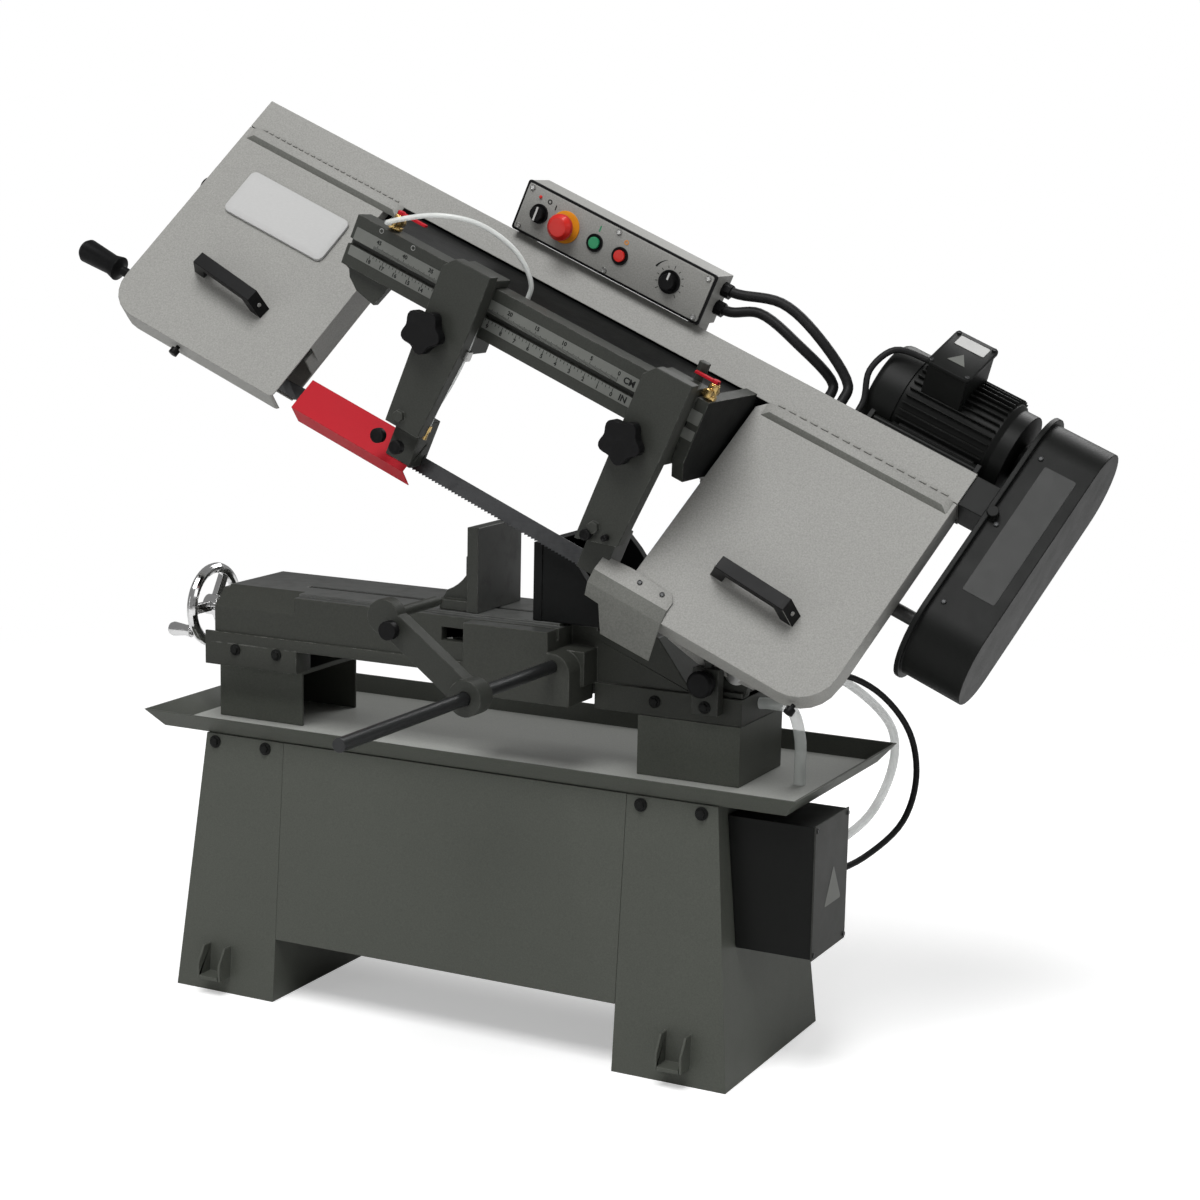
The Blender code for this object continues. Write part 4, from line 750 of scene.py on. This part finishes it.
def repeat(pattern, matrices):
    """Copies of a pattern piece joined into one; the pattern itself goes."""
    made = joined([copy_to(pattern, matrix) for matrix in matrices])
    bpy.data.objects.remove(pattern)
    return made


# %% [markdown]
# ## Bolts
# Flange bolts hold the stand together and the bed down: a hexagon on a round skirt,
# slightly domed.  One is modelled standing on the z = 0 plane at the drawing's origin
# and copied to each place, turned to face outwards.  The stand's walls lean, so its
# bolts lean with them.  The bed's left end stands on a cast foot with a band along
# its lower edge: two softened blocks, and the bolts go into the foot.

# %% Flange bolts
def flange_bolt(size):
    """Hexagon head across corners 2 * size, on its skirt."""
    skirt = rod("z", (0, 0), size * 1.35, 0, size * 0.28, 28)
    bpy.ops.object.mode_set(mode="EDIT")
    faces_towards(0, 0, 1)
    bpy.ops.mesh.inset(thickness=size * 0.30)
    bpy.ops.transform.translate(value=(0, 0, size * 0.14))
    bpy.ops.object.mode_set(mode="OBJECT")
    head = rod("z", (0, 0), size, size * 0.2, size * 0.95, 6)
    soften(size * 0.10, 2)
    bpy.ops.object.mode_set(mode="EDIT")
    faces_towards(0, 0, 1)
    bpy.ops.mesh.inset(thickness=size * 0.16)
    bpy.ops.transform.translate(value=(0, 0, size * 0.05))
    bpy.ops.object.mode_set(mode="OBJECT")
    return joined([skirt, head])


def facing(way):
    """Turns +z to the given way."""
    return Vector(way).to_track_quat("Z", "Y").to_matrix().to_4x4()


def bolts(name, drawing, body, material, size, spots):
    """spots: (place, way) pairs."""
    pattern = flange_bolt(size)
    made = repeat(pattern, [Matrix.Translation(place) @ facing(way) @ Matrix.Rotation(0.3 * i, 4, "Z")
                            for i, (place, way) in enumerate(spots)])
    return settle(made, name, drawing, body, material)


SIDE_TAPER = 0.079                              # lean of the stand's walls per millimetre of height
STAND_DEPTH = 359.0
BOLT_Z = 409
lean = SIDE_TAPER * BOLT_Z
spots = []
for x in (57, 154, 822, 921):
    spots.append(((x, lean, BOLT_Z), (0, -1, SIDE_TAPER)))
    spots.append(((x, STAND_DEPTH - lean, BOLT_Z), (0, 1, SIDE_TAPER)))
bolts("stand_bolts", stand_frame, "base", gloss_black, 7.5, spots)

# %% Bed foot and its bolts
FLANGE_Y = 93.5
foot = block((-6, 172), (FLANGE_Y, 136), (521.5, 560))
soften(1.0)
band = block((-6, 497), (FLANGE_Y, 98.4), (558, 577))
soften(1.2)
settle(joined([foot, band]), "bed_flange", stand_frame, "base", bed_grey)
places = ((54, FLANGE_Y, 550), (134, FLANGE_Y, 550), (792, 135.9, 542), (884, 114.9, 548))
bolts("bed_bolts", stand_frame, "base", gloss_black, 7.0,
      [(place, (0, -1, 0)) for place in places])

# %% [markdown]
# ## Door furniture
# Both wheel doors hang on a piano hinge along their upper edge: a raised strip with a
# row of knuckles.  The strip's slope faces away from the light, and a darker grey
# deepens its shade.  The left door carries a framed plate, which stays blank.  Small
# latch screws stand under the free edges, and a screw holds each end of a handle.

# %% Hinge ridges
def hinge_ridge(side, a0, a1, spot, pitch):
    """A pressed ridge with sloping ends on the door, and the hinge's knuckles above it."""
    p0, p1, k0, k1 = 322, 346, 44.8, 51.5       # up the door, and out from its face
    ridge = block((a0, a1), (p0, p1), (k0, k1))
    bpy.ops.object.mode_set(mode="EDIT")
    choose("verts", lambda v: v.co.z > k0 + 1 and v.co.y < p0 + 1)
    bpy.ops.transform.translate(value=(0, 8.5, 0))
    for end, lean in ((a0, 12), (a1, -12)):
        choose("verts", lambda v: v.co.z > k0 + 1 and abs(v.co.x - end) < 1)
        bpy.ops.transform.translate(value=(lean, 0, 0))
    bpy.ops.object.mode_set(mode="OBJECT")
    soften(1.2)
    settle(ridge, side + "_hinge_ridge", wheel_frame, side + "_door", light_grey)
    # The ridge's downward slope takes the darker grey, a painted shade.
    repaint(ridge, painted_shade_grey, wheel_frame, (-BIG, p0 - 1, k0), (BIG, p1 - 8, k1), (0, -0.62, 0.785))
    pattern = rod("x", (350.4, 45.2), 1.7, spot, spot + pitch * 0.62, 12)
    soften(0.4)
    count = int((a1 - a0 - 20) / pitch)
    knuckles = repeat(pattern, [Matrix.Translation((pitch * i, 0, 0)) for i in range(count)])
    settle(knuckles, side + "_hinge_knuckles", wheel_frame, "bow", light_grey)


hinge_ridge("left", -1181, -866, -1164, 12.5)
hinge_ridge("right", -168, 158, -152, 19.0)

# %% Blank plate and latches
plate = rounded_plate((-1126, -923), (192, 277), (44.9, 51.0), (0, 0, 1), 11, 1.6)
bpy.ops.object.mode_set(mode="EDIT")
faces_towards(0, 0, 1)
bpy.ops.mesh.inset(thickness=7)
bpy.ops.transform.translate(value=(0, 0, 1.4))
bpy.ops.mesh.inset(thickness=1.5)
bpy.ops.object.mode_set(mode="OBJECT")
settle(plate, "blank_plate", wheel_frame, "left_door", nameplate)


def latch(name, body, a, k):
    """Knurled thumb screw under a door's free edge."""
    shank = rod("y", (a, k), 3.5, -48, -41.5, 16)
    head = rod("y", (a, k), 7.5, -58, -47.5, 20)
    soften(1.0)
    settle(joined([shank, head]), name, wheel_frame, body, black_plastic)


latch("left_latch", "left_door", -1038, 28)
latch("right_latch", "right_door", 128, 28)

# %% Handle screws
def pan_screw(size):
    """Round-headed machine screw on the z = 0 plane."""
    head = rod("z", (0, 0), size, -0.3, size * 0.55, 24)
    soften(size * 0.28, 3)
    bpy.ops.object.mode_set(mode="EDIT")
    faces_towards(0, 0, 1)
    bpy.ops.mesh.inset(thickness=size * 0.25)
    bpy.ops.transform.translate(value=(0, 0, -size * 0.14))
    bpy.ops.object.mode_set(mode="OBJECT")
    return head


for side, start, finish in (("left", (-1092, 86), (-942, 72)), ("right", (-84, 72), (66, 64))):
    along = Vector(finish) - Vector(start)
    turn = Matrix.Rotation(atan2(along.y, along.x), 4, "Z")
    grip_frame = wheel_frame @ Matrix.Translation((*start, 0)) @ turn
    reach = along.length
    heads = repeat(pan_screw(3.6), [Matrix.Translation(spot) @ facing(way) for spot, way in (
        ((reach - 7.0, 0, 66), (44, 0, 14)), ((7.0, 0, 66), (-44, 0, 14)))])
    settle(heads, side + "_handle_screws", grip_frame, side + "_door", steel)

# %% [markdown]
# The band leaves the right door under a bent deflector: a tab screwed on the door's
# face, then a slope over the door's lower edge, then a hanging skirt.  It is one sheet
# of three panels that share their fold lines, given its thickness by a modifier.  The
# door's own flat skirt behind it is taken out of the dressed copy.

# %% Exit deflector
only(skins["right_door"])
bpy.ops.object.mode_set(mode="EDIT")


def on_skirt(face):
    """Whether a face belongs to the door's own flat skirt."""
    spot = to_bow @ face.calc_center_median()
    return -240 < spot.x < -90 and 45.8 < spot.y < 49.5 and -27 < spot.z < 47


choose("faces", on_skirt)
bpy.ops.mesh.delete(type="FACE")
bpy.ops.object.mode_set(mode="OBJECT")
sheet = [wheel_spot(*spot) for spot in (
    (-235, -21.5, 47.4), (-234.5, 5.5, 47.4), (-186, 9, 47.4), (-112, 4, 47.4), (-104, -6, 47.4),
    (-104, -21.5, 47.4), (-101, -43, 46.0), (-232, -43, 46.0))]
hang = sheet[7].y
sheet += [Vector((a, hang, h)) for a, h in ((-95, -11), (-181.5, -12.5), (-202.5, 27), (-228, 28.5))]
mesh = bpy.data.meshes.new("exit_deflector")
mesh.from_pydata(sheet, [], [(5, 4, 3, 2, 1, 0), (0, 7, 6, 5), (7, 11, 10, 9, 8, 6)])
deflector = bpy.data.objects.new("exit_deflector", mesh)
bpy.context.collection.objects.link(deflector)
thick = deflector.modifiers.new("thick", "SOLIDIFY")
thick.thickness = 1.3                           # millimetres: the mesh is still on its drawing
thick.offset = 0
only(deflector)
apply_all(deflector)
soften(0.35, 2, 25)
settle(deflector, "exit_deflector", bow_frame, "right_door", light_grey)
# The deflector's slope and hanging skirt take the darker grey, a painted shade.
repaint(deflector, painted_shade_grey, bow_frame, (-BIG, 0, -30), (BIG, 43.0, 66))
places = ((-163.6, -4.5, 48.0), (-124.6, -3.6, 48.0))
settle(repeat(pan_screw(4.0), [Matrix.Translation(place) for place in places]),
       "deflector_screws", wheel_frame, "right_door", black_steel)

# %% [markdown]
# ## The guide beam's scales
# Two narrow rules run beside the groove in which the guide arms slide, one in inches
# and one in centimetres.  Lines and digits are printed, so they are thin flat pieces
# lying on the beam, which move with it.  A text object gives the digits; it is turned
# into mesh before its place is applied.

# %% Rules and ticks
ZERO_A = -333.4                                 # where both rules read nought
INCH = 25.4
RULE_ENDS = (-829, -188)
BEAM_FACE = 84.2
PRINT_FACE = BEAM_FACE - 0.62                   # just proud of the rules
for name, h in (("inch_rule", (296.5, 312.2)), ("centimetre_rule", (321.8, 342.0))):
    rule = rounded_plate(RULE_ENDS, (BEAM_FACE - 0.5, BEAM_FACE + 0.2), h, (0, 1, 0), 1.5, 0)
    settle(rule, name, bow_frame, "bow", grey_label)


def line_mark(a, h0, h1, width):
    """Corners of one printed line, as a strip."""
    return [(a - width / 2, PRINT_FACE, h0), (a + width / 2, PRINT_FACE, h0),
            (a + width / 2, PRINT_FACE, h1), (a - width / 2, PRINT_FACE, h1)]


def strips(name, drawing, body, corners, material):
    """Printed marks: each a flat four-cornered face given a little thickness."""
    mesh = bpy.data.meshes.new(name)
    points = [point for mark in corners for point in mark]
    mesh.from_pydata(points, [], [range(4 * i, 4 * i + 4) for i in range(len(corners))])
    made = bpy.data.objects.new(name, mesh)
    bpy.context.collection.objects.link(made)
    only(made)
    bpy.ops.object.mode_set(mode="EDIT")
    bpy.ops.mesh.select_all(action="SELECT")
    bpy.ops.mesh.extrude_region_move(TRANSFORM_OT_translate={"value": (0, 0.3, 0)})
    bpy.ops.mesh.select_all(action="SELECT")
    bpy.ops.mesh.normals_make_consistent(inside=False)
    bpy.ops.object.mode_set(mode="OBJECT")
    return settle(made, name, drawing, body, material)


marks = []
for i in range(73):                             # quarter inches
    marks.append(line_mark(ZERO_A - INCH * i / 4, 312.0 - (6.6, 3.6, 4.8, 3.6)[i % 4], 312.0, 0.95))
for i in range(229):                            # every second millimetre
    tall = 8.6 if i % 25 == 0 else 7.0 if i % 5 == 0 else 5.4
    marks.append(line_mark(ZERO_A - 2 * i, 322.0, 322.0 + tall, 0.75))
strips("rule_lines", bow_frame, "bow", marks, ink)

# %% Rule digits
def lettering(name, words, turn, drawing, body, material, size):
    """words: (text, place) pairs on a drawing; turn stands the text on its surface."""
    made = []
    for text, place in words:
        bpy.ops.object.select_all(action="DESELECT")
        bpy.ops.object.text_add()
        item = bpy.context.object
        item.data.body = text
        item.data.size = size
        item.data.align_x = "CENTER"
        item.data.align_y = "CENTER"
        item.data.extrude = 0.06
        item.data.offset = size * 0.035
        item.data.resolution_u = 3
        bpy.ops.object.convert(target="MESH")
        item = bpy.context.object
        item.data.transform(Matrix.Translation(place) @ turn)
        made.append(item)
    return settle(joined(made), name, drawing, body, material)


upright = Matrix.Rotation(pi / 2, 4, "X")       # text that stands on a front face
words = [(str(i), (ZERO_A - INCH * i, PRINT_FACE, 301.6)) for i in range(19)]
words += [(str(i), (ZERO_A - 10 * i, PRINT_FACE, 335.6)) for i in range(0, 50, 5)]
lettering("rule_digits", words, upright, bow_frame, "bow", ink, 8.8)
units = [("IN", (ZERO_A + 20, PRINT_FACE, 304)), ("CM", (ZERO_A + 20, PRINT_FACE, 331))]
lettering("rule_units", units, upright, bow_frame, "bow", ink, 13.5)

# %% [markdown]
# The beam's own screws are sunk nearly flush, because the guide arms pass over them.
# A hexagon cap on a short stem stands behind the right valve: two bars, joined.

# %% Beam screws and valve cap
SUNK_Y = BEAM_FACE + 2.0
settle(repeat(pan_screw(4.4), [Matrix.Translation((a, SUNK_Y, 354)) @ facing((0, -1, 0))
                               for a in (-787, -726)]),
       "beam_screws", bow_frame, "bow", steel)
stem = rod("z", (-231, 124), 6.5, 349, 386, 24)
cap = rod("z", (-231, 124), 9.5, 384, 402, 6)
soften(1.6)
settle(joined([stem, cap]), "valve_cap", bow_frame, "bow", dark_grey)

# %% [markdown]
# ## The control box's face
# A pressed plate held by six screws over a black gasket, a collar under each button,
# an amber ring behind the stop mushroom and a small red lamp.  All stand on one line,
# so each takes its place along the box from the same names.

# %% Control face
FACE_Y = 286.9
MARK_Y = FACE_Y - 0.15                          # printed lines, just proud of the plate
ROW_H = 445
SELECTOR_A, MUSHROOM_A, START_A, STOP_A, DIAL_A = -647, -597, -540, -492, -399
gasket = rounded_plate((-685.5, -328.5), (288.6, 291.5), (404.2, 487.3), (0, 1, 0), 4.5, 0)
settle(gasket, "box_gasket", bow_frame, "bow", black_plastic)
cover = rounded_plate((-681.3, -332.7), (FACE_Y, 289), (408.2, 483.3), (0, 1, 0), 3.5, 0.6)
settle(cover, "box_cover", bow_frame, "bow", light_grey)
collars = []
for a, radius in ((SELECTOR_A, 15.5), (START_A, 14.2), (STOP_A, 14.2), (DIAL_A, 18.5)):
    ring = rod("y", (a, ROW_H), radius, FACE_Y - 2.6, FACE_Y + 0.4, 40)
    soften(0.7)
    bpy.ops.object.mode_set(mode="EDIT")
    faces_towards(0, -1, 0)
    bpy.ops.mesh.inset(thickness=2.0)
    bpy.ops.transform.translate(value=(0, 0.9, 0))
    bpy.ops.object.mode_set(mode="OBJECT")
    collars.append(ring)
settle(joined(collars), "button_collars", bow_frame, "bow", black_plastic)
ring = rod("y", (MUSHROOM_A, ROW_H), 25.5, FACE_Y - 1.6, FACE_Y + 0.4, 56)
soften(0.5)
settle(ring, "amber_ring", bow_frame, "bow", yellow_plastic)
lamp = rod("y", (-655, 470), 2.6, FACE_Y - 2.2, FACE_Y + 0.4, 20)
soften(0.9, 3)
settle(lamp, "power_lamp", bow_frame, "bow", red_plastic)

# %% [markdown]
# The marks are the ones that any such panel has: a line and a ring for on and off, a
# fan of lines round the dial, and a wedge that narrows along its arc towards the slow
# end.  Each is printed, so it is flat and keeps to the plate.

# %% Printed marks
fan = []
for i in range(11):
    angle = radians(225 - 27 * i)
    out = Vector((cos(angle), 0, sin(angle)))
    side = Vector((-sin(angle), 0, cos(angle))) * 0.55
    near = Vector((DIAL_A, MARK_Y, ROW_H)) + out * 21.0
    far = near + out * (5.5 if i % 5 == 0 else 3.6)
    fan.append([tuple(v) for v in (near - side, near + side, far + side, far - side)])
strips("dial_lines", bow_frame, "bow", fan, ink)

TEXT_Y = FACE_Y - 0.2
for name, marks, material, size in (
        ("control_marks", [("O", (-637, TEXT_Y, 469)), ("I", (-624, TEXT_Y, 465))], ink, 10.5),
        ("start_mark", [("I", (START_A, TEXT_Y, 468))], green_plastic, 13.0),
        ("stop_mark", [("O", (STOP_A + 2, TEXT_Y, 468))], yellow_plastic, 10.0)):
    lettering(name, marks, upright, bow_frame, "bow", material, size)


def wedge_corner(swept, side):
    """A corner of the wedge, swept degrees along its arc; side is -1 inside and 1 outside."""
    angle = radians(158 - swept)
    reach = 33 + side * (1.74 - 0.04 * swept)
    return (DIAL_A + reach * cos(angle), MARK_Y, ROW_H + reach * sin(angle))


STEP = 5
wedge = [[wedge_corner(start, -1), wedge_corner(start, 1), wedge_corner(start + STEP, 1),
          wedge_corner(start + STEP, -1)] for start in range(0, 8 * STEP, STEP)]
strips("speed_wedge", bow_frame, "bow", wedge, ink)

# %% [markdown]
# The start and stop buttons' caps are widened a little to fill their collars.  The
# selector and the dial get a pale pointer each, which turns with its knob.

# %% Buttons, pointers and screws
CAP_WIDER = Matrix.Diagonal((1.16, 1, 1.16, 1))
for node, a in (("start_button", START_A), ("stop_button", STOP_A)):
    about = bow_frame @ Matrix.Translation((a, 0, ROW_H))
    skins[node].data.transform(about @ CAP_WIDER @ about.inverted())
for node, a, low, high in (("power_selector", SELECTOR_A, -11, 11), ("speed_dial", DIAL_A, 4, 15)):
    front = min((to_bow @ v.co).y for v in skins[node].data.vertices)
    mark = block((a - 1.6, a + 1.6), (front - 0.5, front + 0.6), (ROW_H + low, ROW_H + high))
    settle(mark, node + "_pointer", bow_frame, node, pale_label)

screw = pan_screw(4.6)
places = [(a, h) for a in (-674, -508, -341) for h in (413.5, 478)]
settle(repeat(screw, [Matrix.Translation((a, FACE_Y, h)) @ facing((0, -1, 0)) for a, h in places]),
       "box_screws", bow_frame, "bow", steel)
glands = [rod("x", (333, 464 - 30 * i), 12, -331, -316, 8) for i in range(2)]
settle(joined(glands), "conduit_glands", bow_frame, "bow", black_plastic)

# %% [markdown]
# ## Blade guides
# Each arm ends in a block with rollers that turn the band upright.  Black socket
# screws clamp them, and a small brass nozzle wets the cut.  A clear tube brings the
# coolant down the left arm and is held by a clip, so it moves with the arm.

# %% Guide screws
def guide_screws(side, spots):
    """Socket screws on the front of an arm's block; spots: (a, h, radius)."""
    parts = []
    for a, h, radius in spots:
        head = rod("y", (a, h), radius, 22, 34.4, 24)
        soften(1.2)
        bpy.ops.object.mode_set(mode="EDIT")
        faces_towards(0, -1, 0)
        bpy.ops.mesh.inset(thickness=radius * 0.45)
        bpy.ops.transform.translate(value=(0, 2.5, 0))
        bpy.ops.object.mode_set(mode="OBJECT")
        parts.append(head)
    settle(joined(parts), side + "_guide_screws", bow_frame, side + "_arm", black_plastic)


guide_screws("left", ((-639, 84, 11.5), (-603, 82, 11.0)))
guide_screws("right", ((-262, 112, 8.5), (-232, 122, 5.0)))

# %% Nozzle, clip and arm tube
nozzle = rod("z", (-580, 60), 3.4, 104, 124, 20)
soften(0.6)
tip = rod("z", (-580, 60), 5.0, 118, 127, 6)
settle(joined([nozzle, tip]), "left_nozzle", bow_frame, "left_arm", brass)
clip = rounded_plate((-572, -558), (52, 66), (246, 262), (1, 0, 0), 2.5, 0.8)
settle(clip, "tube_clip", bow_frame, "left_arm", steel)
arm_tube = round_line("arm_tube", bow_frame, [
    (-565, 59, 300), (-565, 60, 256), (-570, 60, 205), (-578, 60, 160), (-580, 60, 124)],
    3.2, 4, clear_tube)[0]
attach(arm_tube, "left_arm")

# %% [markdown]
# ## Coolant valves
# Two small brass taps sit on top of the beam: a hexagon, a cross bar and a red lever.
# They are a little larger than the solids that they cover, and have a hose nut.

# %% Brass taps
for side, a in (("left", -776), ("right", -196)):
    nut = rod("z", (a, 104), 10.5, 361, 367, 6)
    soften(0.8)
    body = rod("z", (a, 104), 8.3, 366, 384, 24)
    soften(1.2)
    spout = rod("y", (a, 372), 6.6, 83, 118.5, 20)
    soften(0.8)
    collar = rod("y", (a, 372), 8.2, 84.5, 91, 6)
    soften(0.8)
    settle(joined([nut, body, spout, collar]), side + "_tap", bow_frame, "bow", brass)

# %% [markdown]
# ## Motor
# A fan-cooled motor wears straight fins, a smooth cowl over its fan and a terminal
# box with a lid.  The fins are one thin blade copied round the can; the cowl is a
# drum with a rounded end and a grille of rings.

# %% Fins and cowl
MOTOR_P, MOTOR_K, MOTOR_R = 490.0, -40.0, 80.0
fin = block((0, 148), (-0.9, 0.9), (MOTOR_R - 6, MOTOR_R + 6.5))
soften(0.5)
around = Matrix.Translation((0, MOTOR_P, MOTOR_K))
FIN_COUNT = 44
FOOT_ANGLE, FOOT_HALF = radians(118), radians(38)       # no fins where the motor is bolted down
fins = []
for i in range(FIN_COUNT):
    angle = 2 * pi * i / FIN_COUNT
    if abs(angle - FOOT_ANGLE) >= FOOT_HALF:
        fins.append(around @ Matrix.Rotation(angle, 4, "X"))
settle(repeat(fin, fins), "motor_fins", wheel_frame, "bow", gloss_black)
cowl = rod("x", (MOTOR_P, MOTOR_K), MOTOR_R + 2.5, -58, -6, 56)
bpy.ops.object.mode_set(mode="EDIT")
choose("edges", lambda edge: all(v.co.x < -57 for v in edge.verts))
bpy.ops.mesh.bevel(offset=13, segments=5, affect="EDGES")
faces_towards(-1, 0, 0)
for depth in (-1.5, 1.5, -1.5, 1.5):
    bpy.ops.mesh.inset(thickness=12)
    bpy.ops.transform.translate(value=(depth, 0, 0))
bpy.ops.object.mode_set(mode="OBJECT")
settle(cowl, "motor_cowl", wheel_frame, "bow", gloss_black)

# %% [markdown]
# The terminal box has a lid with its own screws, and two blank stickers.  It sits on the
# can's upper side, so it is drawn upright on its own small drawing and then leaned.

# %% Terminal lid
BOX_LEAN = radians(27)
box_frame = wheel_frame @ around @ Matrix.Rotation(BOX_LEAN - WHEEL_LEAN, 4, "X")
lid = rounded_plate((14, 87), (-50, 50), (125.7, 133.5), (0, 0, 1), 7, 1.6)
settle(lid, "terminal_lid", box_frame, "bow", gloss_black)
sticker = rounded_plate((26, 76), (16, 40), (133.3, 133.9), (0, 0, 1), 2, 0)
settle(sticker, "terminal_plate", box_frame, "bow", pale_label)
small = rod("z", (51, -16), 17, 133.3, 133.9, 3)
settle(small, "terminal_small_plate", box_frame, "bow", grey_label)
screw = pan_screw(3.6)
settle(repeat(screw, [Matrix.Translation((a, y, 133.5)) for a in (20, 81) for y in (-44, 44)]),
       "terminal_screws", box_frame, "bow", black_steel)

# %% [markdown]
# ## Belt guard
# The belt guard is a deep pressed lid.  Three screws hold it along one edge, and its
# label stays a bare plate.

# %% Guard plate and screws
GUARD_SIDE = 36.0                               # the guard's outer face on the wheel's drawing
label = rounded_plate((238, 291), (236, 468), (GUARD_SIDE - 0.3, GUARD_SIDE + 0.5), (0, 0, 1), 3, 0)
settle(label, "guard_plate", wheel_frame, "bow", dark_label)
screw = pan_screw(4.2)
settle(repeat(screw, [Matrix.Translation((226, p, GUARD_SIDE)) for p in (205, 350, 476)]),
       "guard_screws", wheel_frame, "bow", black_steel)

# %% [markdown]
# ## The band's teeth
# The solid band has smooth edges.  Teeth are a saw-tooth ribbon laid along the cutting
# edge, twisting with the band from flat on the wheels to upright between the guides.
# There are over a hundred, so each is a plain wedge of five faces.

# %% Tooth ribbon
BAND_LEFT, BAND_RIGHT = -985, -30               # where the band meets its wheels
LEFT_TWIST, RIGHT_TWIST = 220, 158              # how much band each twist takes
PITCH = 6.35
HALF_BAND = 12.7
HALF_THICK = 0.42


def twist_at(a):
    """How far the band has turned upright at a, 0 to 1."""
    left = min(max((a - BAND_LEFT) / LEFT_TWIST, 0), 1)
    right = min(max((BAND_RIGHT - a) / RIGHT_TWIST, 0), 1)
    share = min(left, right)
    return share * share * (3 - 2 * share)


def band_point(a, across, off):
    lean = twist_at(a) * WHEEL_LEAN
    return (a, sin(lean) * across - cos(lean) * off, cos(lean) * across + sin(lean) * off)


ribbon = bpy.data.meshes.new("band_teeth")
points, faces = [], []
for i in range(int((BAND_RIGHT - BAND_LEFT) / PITCH) + 1):
    a = BAND_LEFT + PITCH * i
    base = len(points)
    for off in (-HALF_THICK, HALF_THICK):
        points += [band_point(a, -HALF_BAND + 0.4, off), band_point(a + PITCH, -HALF_BAND + 0.4, off),
                   band_point(a + PITCH * 0.12, -HALF_BAND - 2.6, off)]
    faces += [[base + corner for corner in face] for face in (
        (0, 2, 1), (3, 4, 5), (0, 3, 5, 2), (2, 5, 4, 1), (1, 4, 3, 0))]
ribbon.from_pydata(points, [], faces)
teeth = bpy.data.objects.new("band_teeth", ribbon)
bpy.context.collection.objects.link(teeth)
only(teeth)
bpy.ops.object.mode_set(mode="EDIT")
bpy.ops.mesh.select_all(action="SELECT")
bpy.ops.mesh.normals_make_consistent(inside=False)
bpy.ops.object.mode_set(mode="OBJECT")
settle(teeth, "band_teeth", wheel_frame, "bow", blade_steel)

# %% [markdown]
# ## Switch cabinet
# The cabinet hangs under the tray's right end.  Its door carries a small three-cornered
# plate, which stays blank, and four screws.

# %% Cabinet furniture
DOOR_X = 1089.0                                 # the door's outer face on the stand's drawing
plate = rod("z", (0, 0), 38, -0.45, 0.45, 3)
bpy.ops.object.mode_set(mode="EDIT")
edges_along(0, 0, 1)
bpy.ops.mesh.bevel(offset=5, segments=4, affect="EDGES")
bpy.ops.object.mode_set(mode="OBJECT")
plate.data.transform(Matrix.Translation((DOOR_X, 138, 292)) @ Matrix.Rotation(pi / 2, 4, "Y")
                     @ Matrix.Rotation(pi / 2, 4, "Z"))
settle(plate, "cabinet_plate", stand_frame, "cabinet_door", grey_label)
settle(repeat(pan_screw(4.0), [Matrix.Translation((DOOR_X, y, z)) @ facing((1, 0, 0))
                               for y, z in ((69, 398), (69, 210), (189, 398), (189, 210))]),
       "cabinet_screws", stand_frame, "cabinet_door", black_steel)
